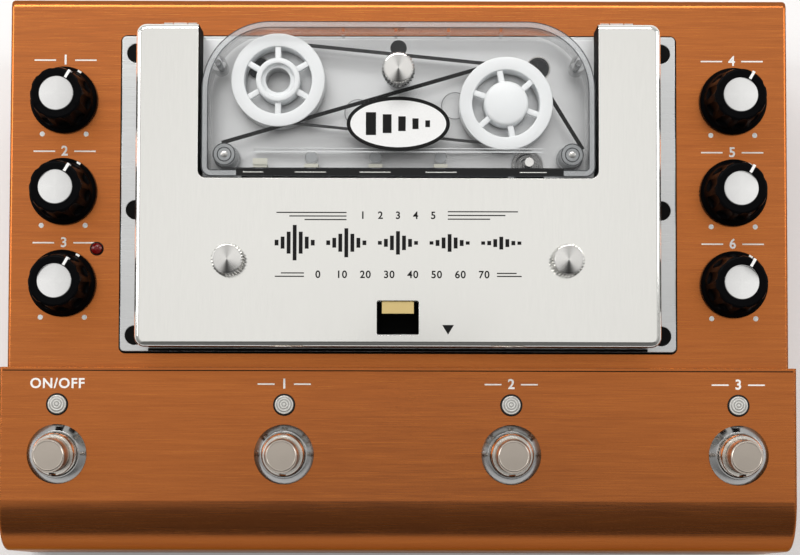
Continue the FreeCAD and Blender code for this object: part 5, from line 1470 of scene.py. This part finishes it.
@dataclass
class Cover:
    """The mirror-polished cover and what is printed on it."""

    fitter: Fitter
    nodes: dict[str, bpy.types.Object]
    top: float = LAYOUT.cover_top
    ink: float = 0.02
    stripe: float = 0.34
    lining_low: float = 6.2
    lining_high: float = 20.3
    figure: float = 2.2
    upper_row: tuple[float, float, float] = (-10.4, 45.2, 5.2)
    lower_row: tuple[float, float, float] = (-23.6, 27.7, 7.0)
    pulse_left: float = -36.4
    pulse_middle: float = 37.15
    pulse_half: float = 5.25
    pulse_least: float = 0.5
    pulse_bar: float = 1.15
    pulse_pitch: float = 1.78
    pulse_gap: float = 2.78
    arrow_spot: tuple[float, float] = (14.8, 12.0)
    arrow_radius: float = 2.0

    def _liner(self) -> None:
        """Painted shade: a thin black wall round the inside of the cartridge's bay, where the shadow falls
        between cover and cartridge.
        """
        sides = (-59.33, 59.33, 56.33, 130.0)
        low, high = self.lining_low, self.lining_high
        outer = Bench.rounded_plate("painted_bay_shade", sides, low, high - low, 2.5, 8)
        inner = Bench.rounded_plate("opening", (-59.2, 59.2, 56.46, 131.0), low - 1, high - low + 2, 2.4, 8)
        bay_shade_walls = Bench.cut(outer, inner)
        bay_shade_walls = Bench.cut(bay_shade_walls, Bench.block("rear", (-70, 102.0, low - 1), (70, 140, high + 1)))
        bay_shade_walls = Bench.cut(bay_shade_walls, Bench.block("heads", (-58.9, 50.0, low - 1), (58.9, 62.0, 17.2)))
        self.fitter.fit(bay_shade_walls, "rubber", "top_cover", "black_plastic")

    def build(self) -> None:
        """Dress the cover and print its marks."""
        self._liner()
        self.fitter.dress(self.nodes, ["top_cover"], "chrome")
        marks = [*self._stripes(), *self._pulses(), *self._counter_rows(), self._arrow()]
        self.fitter.fit(Bench.joined("cover_marks", marks), "ink_black", "top_cover", "polished_chrome")

    def _bar(self, left: float, right: float, near: float, far: float) -> bpy.types.Object:
        """A printed bar."""
        return Bench.block("bar", (left, near, self.top - self.ink), (right, far, self.top + self.ink))

    def _stripes(self) -> list[bpy.types.Object]:
        """Thin stripes that taper in length, beside the two rows of marks."""
        rows = [
            (-35.9, -15.2, 46.1), (-32.1, -15.2, 45.05), (-27.6, -15.2, 44.0),
            (14.7, 35.4, 46.4), (14.7, 31.7, 45.3), (14.7, 27.2, 44.2),
            (-34.5, -27.7, 28.2), (-36.3, -27.7, 27.2), (29.2, 35.0, 28.2), (29.2, 36.5, 27.3),
        ]
        half = self.stripe / 2
        return [self._bar(left, right, along - half, along + half) for left, right, along in rows]

    def _pulses(self) -> list[bpy.types.Object]:
        """Echo pulses: groups of upright bars that die away from left to right."""
        bars = []
        middle = self.pulse_middle
        across = self.pulse_left
        for strength in (1.0, 0.82, 0.66, 0.5, 0.36):
            for share in (0.16, 0.34, 0.62, 1.0, 0.62, 0.34, 0.16):
                half = max(self.pulse_half * share * strength, self.pulse_least)
                bars.append(self._bar(across, across + self.pulse_bar, middle - half, middle + half))
                across += self.pulse_pitch
            across += self.pulse_gap
        return bars

    def _counter_rows(self) -> list[bpy.types.Object]:
        """Two rows of small plain figures between the stripes."""
        upper = ("upper_figure", [str(count) for count in range(1, 6)], self.upper_row)
        lower = ("lower_figure", [str(count) for count in range(0, 80, 10)], self.lower_row)
        figures = []
        for name, texts, (left, along, pitch) in (upper, lower):
            for place, text in enumerate(texts):
                spot = (left + pitch * place, along, self.top + self.ink / 2)
                figures.append(Bench.written(name, text, self.figure, spot))
        return figures

    def _arrow(self) -> bpy.types.Object:
        """The arrow beside the latch window."""
        Bench.clear()
        bpy.ops.mesh.primitive_cylinder_add(
            vertices=3, radius=self.arrow_radius, depth=2 * self.ink, location=(0, 0, 0)
        )
        arrow = bpy.context.active_object
        arrow.name = "arrow"
        arrow.rotation_euler = (0, 0, math.radians(180))
        arrow.scale = (1.0, 0.95, 1)
        arrow.location = (*self.arrow_spot, self.top)
        Bench.bake(arrow)
        return arrow


@dataclass
class Reel:
    """A white reel with six spokes."""

    fitter: Fitter
    flange: float = 14.0
    window: float = 10.0
    hub: float = 6.6
    top: float = 15.2
    low: float = 6.3
    sheet: float = 0.9
    drum: float = 11.8
    spoke: float = 1.75
    spokes: int = 6

    def build(self, name: str, across: float, along: float, turn: float, middle: Hub) -> None:
        """Model a reel in place.

        Args:
            name: the node that it stands for.
            across: the reel's axis.
            along: the reel's axis.
            turn: turn of the spokes in degrees.
            middle: whether the hub is open or has a domed cap.
        """
        top, low = self.top, self.low
        rim = Bench.ring(
            "rim",
            [
                (self.window, low),
                (self.flange, low),
                (self.flange, low + self.sheet),
                (self.drum, low + self.sheet + 0.2),
                (self.drum, top - self.sheet - 0.2),
                (self.flange, top - self.sheet),
                (self.flange, top - 0.05),
                (self.window + 0.15, top),
            ],
            sides=96,
        )
        rim = Bench.softened(rim, 0.25, 3, 30)
        spokes = []
        half = self.spoke / 2
        for step in range(self.spokes):
            bar = Bench.block("spoke", (-half, 4.6, top - 2.7), (half, self.window + 0.6, top - 0.5))
            bar = Bench.softened(bar, 0.25, 2)
            angle = 360 / self.spokes * step + turn
            spokes.append(Bench.copy(bar, f"spoke_{step}", (0, 0, 0), angle))
            bpy.data.objects.remove(bar)
        if middle is Hub.CAPPED:
            hub = Bench.turned(
                "hub",
                [(3.8, low), (self.hub, low), (self.hub, top + 0.1), (self.hub - 0.25, top + 0.45),
                 (self.hub - 0.9, top + 0.75), (0.05, top + 0.8)],
                sides=72,
            )
        else:
            hub = Bench.ring(
                "hub",
                [(3.7, low), (self.hub, low), (self.hub, top + 0.35), (self.hub - 0.35, top + 0.75),
                 (5.15, top + 0.8), (4.9, top + 0.5), (4.9, top - 0.9), (3.7, top - 0.9)],
                sides=72,
            )
            hub = Bench.softened(hub, 0.12, 2, 30)
        whole = Bench.joined("whole", [rim, hub, *spokes])
        piece = Bench.copy(whole, f"{name}_moulding", (across, along, 0))
        bpy.data.objects.remove(whole)
        self.fitter.fit(piece, "reel", name, "reel_plastic", [name], sharp=40)


@dataclass
class Cartridge:
    """The clear cartridge: mouldings, reels, rollers, tape and badge."""

    fitter: Fitter
    nodes: dict[str, bpy.types.Object]
    lid_top: float = LAYOUT.lid_top
    left_reel: tuple[float, float] = (-36.0, 86.3)
    right_reel: tuple[float, float] = (32.2, 79.4)
    roller_across: float = 51.7
    roller_along: float = 63.63
    roller_top: float = 18.32
    half: float = 58.4
    front: float = 56.9
    rear: float = 103.2
    rear_corner: float = 20.4
    front_corner: float = 2.9
    badge_along: float = 72.6
    badge_half: tuple[float, float] = (15.3, 8.1)
    badge_rim: float = 1.1
    shield: tuple[float, float] = (57.15, 59.15)
    rib_half: float = 43.2
    peg_acrosses: tuple[float, ...] = (-26.0, -6.8, 12.7)

    def build(self) -> None:
        """Dress the mouldings and add the reels and the badge."""
        fit = self.fitter
        fit.dress(self.nodes, ["cartridge_base", "cartridge_lid"], "clear")
        fit.dress(self.nodes, ["cartridge_screws"], "clear")
        fit.dress(self.nodes, ["tape_loop"], "tape")
        fit.dress(self.nodes, ["pressure_pads"], "felt")
        fit.dress(self.nodes, ["guide_roller_left", "guide_roller_right"], "frosted")
        self._rollers()
        self._rim()
        self._ribs()
        reel = Reel(fit)
        reel.build("reel_left", *self.left_reel, 0.0, Hub.OPEN)
        reel.build("reel_right", *self.right_reel, 11.0, Hub.CAPPED)
        self._badge()

    def _oval(self, name: str, inset: float, low: float, high: float) -> bpy.types.Object:
        """An oval plate, smaller than the badge by an inset."""
        piece = Bench.turned(name, [(10, low), (10, high)], sides=96)
        piece.scale = ((self.badge_half[0] - inset) / 10, (self.badge_half[1] - inset) / 10, 1)
        piece.location = (0, self.badge_along, 0)
        Bench.bake(piece)
        return piece

    def _badge(self) -> None:
        """A white oval in a black rim, with five plain bars that die away."""
        top = self.lid_top
        rim = self._oval("badge_rim", 0.0, top, top + 0.12)
        self.fitter.fit(rim, "ink_black", "cartridge", "clear_plastic")
        plate = self._oval("badge_field", self.badge_rim, top + 0.1, top + 0.16)
        self.fitter.fit(plate, "badge_white", "cartridge", "clear_plastic")
        level = top + 0.15
        signs = []
        across = -9.6
        for width, half in ((3.0, 3.4), (2.6, 2.8), (2.2, 2.2), (1.8, 1.6), (1.4, 1.0)):
            low = (across, self.badge_along - half, level)
            signs.append(Bench.block("bar", low, (across + width, self.badge_along + half, level + 0.05)))
            across += width + 2.0
        self.fitter.fit(Bench.joined("badge_sign", signs), "ink_black", "cartridge", "clear_plastic")

    def _rollers(self) -> None:
        """Rings and pins that show through the frosted guide rollers."""
        level, width = self.roller_top, 0.3
        for name, hand in (("guide_roller_left", -1), ("guide_roller_right", 1)):
            spot = (hand * self.roller_across, self.roller_along)
            rings = []
            for inner in (3.1, 1.9):
                outer = inner + width
                section = [(inner, level), (outer, level), (outer, level + 0.04), (inner, level + 0.04)]
                rings.append(Bench.ring("ring", section, spot, 48))
            self.fitter.fit(Bench.joined(f"{name}_rings", rings), "rim_line", name, "clear_plastic")
            profile = [(1.0, 18.3), (1.0, 18.4), (0.8, 18.5), (0.05, 18.55)]
            pin = Bench.turned(f"{name}_pin", profile, spot, 32)
            self.fitter.fit(pin, "steel", name, "clear_plastic")

    def _outline(self, name: str, inset: float, low: float, high: float) -> bpy.types.Object:
        """A plate of the cartridge's outline, drawn in by an inset."""
        half, front, rear = self.half - inset, self.front + inset, self.rear - inset
        thick = high - low
        corner = self.rear_corner - inset
        piece = Bench.rounded_plate(name, (-half, half, front - 30, rear), low, thick, corner, 20)
        corner = max(self.front_corner - inset, 0.4)
        tool = Bench.rounded_plate("tool", (-half, half, front, rear + 30), low - 1, thick + 2, corner)
        return Bench.cut(piece, tool, Keep.SHARED)

    def _band(self, name: str, outer: float, inner: float, low: float, high: float) -> bpy.types.Object:
        """A band along the cartridge's outline."""
        whole = self._outline(name, outer, low, high)
        return Bench.cut(whole, self._outline("opening", inner, low - 1, high + 1))

    def _rim(self) -> None:
        """The moulded rim of the lid, between two refracted lines."""
        top = self.lid_top
        band = self._band("lid_rim", 0.3, 1.75, top, top + 0.03)
        self.fitter.fit(band, "moulded_rim", "cartridge", "clear_plastic")
        outer = self._band("lid_line_outer", 0.02, 0.3, top, top + 0.04)
        inner = self._band("lid_line_inner", 1.75, 2.0, top, top + 0.04)
        self.fitter.fit(Bench.joined("lid_lines", [outer, inner]), "rim_line", "cartridge", "clear_plastic")

    def _ribs(self) -> None:
        """Moulded ribs and rings under the lid, and on the lid's front edge a glossy black strip of painted
        shade with painted glints.
        """
        under = self.lid_top - 1.24
        half = self.rib_half
        bars = [
            Bench.block("bar", (-half, near, under - 0.05), (half, far, under))
            for near, far in ((65.2, 65.45), (64.2, 64.55))
        ]
        self.fitter.fit(Bench.joined("lid_ribs", bars), "rib_line", "cartridge", "clear_plastic")
        top = self.lid_top
        # Painted shade: a glossy black strip on the lid's front edge stands for the shade over the heads.
        strip = Bench.block("painted_shade_strip", (-48.0, self.shield[0], top), (49.0, self.shield[1], top + 0.07))
        self.fitter.fit(strip, "gloss", "cartridge", "clear_plastic")
        middle = (self.shield[0] + self.shield[1]) / 2
        near, far = middle - 0.12, middle + 0.14
        # Painted glints: bright bars on the strip stand for highlights on the heads' tops.
        glints = [
            Bench.block("glint", (across - half, near, top + 0.06), (across + half, far, top + 0.09))
            for across, half in ((-43.0, 3.0), (-26.0, 4.6), (-6.8, 4.6), (12.7, 4.6), (40.0, 4.0))
        ]
        self.fitter.fit(Bench.joined("painted_head_glints", glints), "bright", "cartridge", "clear_plastic")
        pad = Bench.block("tape_pad", (-43.5, 61.0, 13.8), (-39.1, 62.9, 14.0))
        self.fitter.fit(pad, "felt", "cartridge", "felt")
        rings = [
            Bench.ring("ring", [(3.9, 6.0), (4.15, 6.0), (4.15, 6.1), (3.9, 6.1)], spot, 48)
            for spot in ((-12.2, 77.6), (17.1, 79.8))
        ]
        profile = [(1.75, 13.7), (1.75, 13.75)]
        pegs = [Bench.turned("peg", profile, (across, 63.3), 32) for across in self.peg_acrosses]
        self.fitter.fit(Bench.joined("base_rings", [*rings, *pegs]), "frosted", "cartridge", "clear_plastic")


@dataclass
class Mechanism:
    """Heads, capstan, pinch roller, motor and belt."""

    fitter: Fitter
    nodes: dict[str, bpy.types.Object]
    collar: Point = (39.0, 61.58, 5.3)
    eye_across: float = 42.4
    eye_along: float = 91.4
    tray_top: float = 4.4

    def build(self) -> None:
        """Dress the working parts."""
        fit = self.fitter
        fit.dress(self.nodes, ["head_block", "pinch_arm", "drive_belt"], "black")
        fit.dress(self.nodes, ["erase_head", "record_head", "playback_heads"], "head")
        fit.dress(self.nodes, ["capstan", "latch_spring"], "bright")
        fit.dress(self.nodes, ["flywheel", "motor_pulley", "release_latch"], "brass")
        fit.dress(self.nodes, ["drive_motor"], "steel")
        fit.dress(self.nodes, ["pinch_roller"], "rubber")
        collar = Turned("collar_rings", (0.3, 0.3, 0.3), deck_point(*self.collar), 0.25, 0.0014, 0.0003)
        fit.dress(self.nodes, ["capstan_bearing"], collar.make())
        self._sinks()
        # Painted shadow: a black strip along the deck plate's front edge, where the cover's shadow falls.
        plate_shadow = Bench.block("painted_plate_shadow", (-75.5, 5.45, 3.48), (75.5, 6.3, 3.56))
        fit.fit(plate_shadow, "rubber", "tape_deck", "gasket_rubber")

    def _sinks(self) -> None:
        """Metal eyes in the tray, and black discs and a black sheet that paint the shade in the eye holes, in
        a hole at the tray's rear middle and behind the latch.
        """
        spots = [(hand * self.eye_across, self.eye_along) for hand in (-1, 1)]
        top = self.tray_top
        section = [(3.3, top), (3.75, top), (3.7, top + 0.22), (3.35, top + 0.22)]
        eyes = [Bench.ring("eye", section, spot, 48) for spot in spots]
        self.fitter.fit(Bench.joined("tray_eyes", eyes), "steel", "tape_deck", "head_metal")
        # Painted shade: black discs down the eye holes and in the rear middle hole, and a black sheet on the
        # tray behind the latch.
        low, high = top + 0.01, top + 0.04
        shade_discs = [Bench.turned("disc", [(3.28, 2.94), (3.28, 2.98)], spot, 48) for spot in spots]
        shade_discs.append(Bench.turned("disc", [(2.5, low), (2.5, high)], (0.0, 97.6), 40))
        shade_discs.append(Bench.block("disc", (-7.0, 10.6, low), (7.0, 21.0, high)))
        self.fitter.fit(Bench.joined("painted_hole_shade", shade_discs), "rubber", "tape_deck", "black_plastic")


@dataclass
class RearFace:
    """Sockets, power inlet and slide switch."""

    fitter: Fitter
    nodes: dict[str, bpy.types.Object]

    def build(self) -> None:
        """Dress the rear fittings."""
        fit = self.fitter
        fit.dress(self.nodes, ["audio_sockets", "socket_nuts"], "nickel")
        fit.dress(self.nodes, ["power_inlet", "bypass_switch", "bypass_slider"], "black")


# ---------------------------------------------------------------- studio


SEEN = ("Is Camera Ray", "Is Glossy Ray", "Is Transmission Ray")


@dataclass
class Studio:
    """Floor, lights and camera."""

    lens: float = 98.39
    camera_at: Point = (1.43, -95.76, 720.24)
    target: Point = (0.59, -2.74, 58.75)
    roll: float = -0.38
    floor_size: float = 12.0
    floor_grey: float = 0.80
    floor_glow: float = 0.15
    middle: Point = (0, 0, 0.05)

    def build(self) -> None:
        """Set up the whole studio."""
        self._floor()
        self._lights()
        self._world()
        self._camera()
        bpy.context.scene.view_settings.view_transform = "Standard"

    def _floor(self) -> None:
        """A wide pale floor."""
        Bench.clear()
        bpy.ops.mesh.primitive_plane_add(size=self.floor_size, location=(0, 0, 0))
        floor = bpy.context.active_object
        floor.name = "studio_floor"
        recipe = Recipe("studio_floor")
        path = recipe.node("ShaderNodeLightPath")
        grey = rgba((self.floor_grey,) * 3)
        matt = recipe.node("ShaderNodeBsdfDiffuse", {}, {"Color": grey})
        glow = recipe.node("ShaderNodeEmission", {}, {"Color": rgba((1, 1, 1)), "Strength": self.floor_glow})
        seen = sum((Wire(recipe, path.outputs[kind]) for kind in SEEN), 0.0).clamped()
        nothing = recipe.node("ShaderNodeEmission", {}, {"Strength": 0.0})
        extra = recipe.node("ShaderNodeMixShader", {}, {0: seen, 1: nothing.outputs[0], 2: glow.outputs[0]})
        total = recipe.node("ShaderNodeAddShader", {}, {0: matt.outputs[0], 1: extra.outputs[0]})
        floor.data.materials.append(recipe.output(total.outputs[0]))
        floor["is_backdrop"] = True

    def _area(self, name: str, place: Point, size: tuple[float, float], power: float, tint: Colour) -> None:
        """A soft box that points at the unit's middle.

        Args:
            name: the lamp's name.
            place: where it hangs, in metres.
            size: its width and height.
            power: its power in watts.
            tint: its colour.
        """
        lamp = bpy.data.lights.new(name, "AREA")
        lamp.shape = "RECTANGLE"
        lamp.size, lamp.size_y = size
        lamp.energy = power
        lamp.color = tint
        item = bpy.data.objects.new(name, lamp)
        item.location = place
        direction = Vector(self.middle) - Vector(place)
        item.rotation_euler = direction.to_track_quat("-Z", "Y").to_euler()
        bpy.context.scene.collection.objects.link(item)

    def _lights(self) -> None:
        """A long box overhead and a little behind, and one on each side."""
        self._area("key", (-0.15, 0.74, 1.22), (1.0, 0.35), 8.0, (1.0, 0.99, 0.975))
        self._area("left", (-0.95, 0.2, 0.85), (0.5, 0.7), 4.5, (1.0, 0.995, 0.985))
        self._area("right", (0.95, 0.25, 0.85), (0.5, 0.7), 3.6, (0.99, 0.995, 1.0))

    @staticmethod
    def _world() -> None:
        """A bright patch overhead that ends a little to the front, over a paler ring lower down."""
        sheet = Recipe("studio_sky", bpy.data.worlds.new("studio_world"))
        bpy.context.scene.world = sheet.material
        place = sheet.node("ShaderNodeTexCoord").outputs["Generated"]
        parts = sheet.node("ShaderNodeSeparateXYZ", {}, {0: place})
        across, along, rise = (Wire(sheet, parts.outputs[row]) for row in range(3))
        bent = (along + across.absolute() * 1.1 - across * 0.35) * 0.5 + 0.5
        stops = [(0.0, 0.2), (0.3, 0.12), (0.43, 0.02), (0.444, 0.05), (0.478, 0.9), (0.56, 0.92), (1.0, 0.9)]
        ramp = sheet.node("ShaderNodeValToRGB", {"stops": stops}, {0: bent})
        height = rise.clamped()
        low = (1 - height.power(3.0)) * (along * 0.32 + 0.42)
        level = Wire(sheet, ramp.outputs[0]) * (height.power(8.0) * 0.95 + 0.05) + low
        sky = sheet.node("ShaderNodeBackground", {}, {"Color": rgba((1.0, 0.99, 0.97)), "Strength": level})
        sheet.node("ShaderNodeOutputWorld", {}, {0: sky.outputs[0]})

    def _camera(self) -> None:
        """The camera, nearly straight above and a little to the front."""
        data = bpy.data.cameras.new("camera")
        data.lens = self.lens
        data.sensor_width = 36.0
        data.sensor_fit = "HORIZONTAL"
        data.clip_start = 0.01
        camera = bpy.data.objects.new("camera", data)
        bpy.context.scene.collection.objects.link(camera)
        place = Vector(self.camera_at) * MM
        forward = (Vector(self.target) * MM - place).normalized()
        right = forward.cross(Vector((0, 0, 1))).normalized()
        up = right.cross(forward)
        turn = math.radians(self.roll)
        right, up = right * math.cos(turn) + up * math.sin(turn), up * math.cos(turn) - right * math.sin(turn)
        basis = Matrix((right, up, -forward)).transposed().to_4x4()
        camera.matrix_world = Matrix.Translation(place) @ basis
        bpy.context.scene.camera = camera


def corners(box: tuple[Vector, Vector]) -> list[list[float]]:
    """A box as plain lists of numbers."""
    return [list(box[0]), list(box[1])]


def main() -> None:
    """Build the looks of the whole unit."""
    logging.basicConfig(level=logging.INFO, format="%(name)s %(message)s")
    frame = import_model()
    solids = corners(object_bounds())
    nodes = frame["nodes"]
    Bench.clear()
    fitter = Fitter(Palette())
    Studio().build()
    Casing(fitter, nodes).build()
    rows = [
        (f"knob_{side}_{row}", hand * LAYOUT.knob_across, along)
        for side, hand in (("left", -1), ("right", 1))
        for row, along in LAYOUT.knob_rows
    ]
    Knob(fitter).build(rows)
    Pedals(fitter, nodes).build()
    Cover(fitter, nodes).build()
    screws = [
        ("cover_screw_left", -49.8, 31.8, LAYOUT.cover_top),
        ("cover_screw_right", 49.8, 31.8, LAYOUT.cover_top),
        ("cartridge_thumbscrew", 0.0, 88.1, LAYOUT.lid_top),
    ]
    Thumbscrew(fitter).build(screws)
    Cartridge(fitter, nodes).build()
    Mechanism(fitter, nodes).build()
    RearFace(fitter, nodes).build()
    bpy.context.view_layer.update()
    {"cad": solids, "visual": corners(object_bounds())}
    LOG.info("%d pieces", len(fitter.done))


if __name__ == "__main__":
    main()
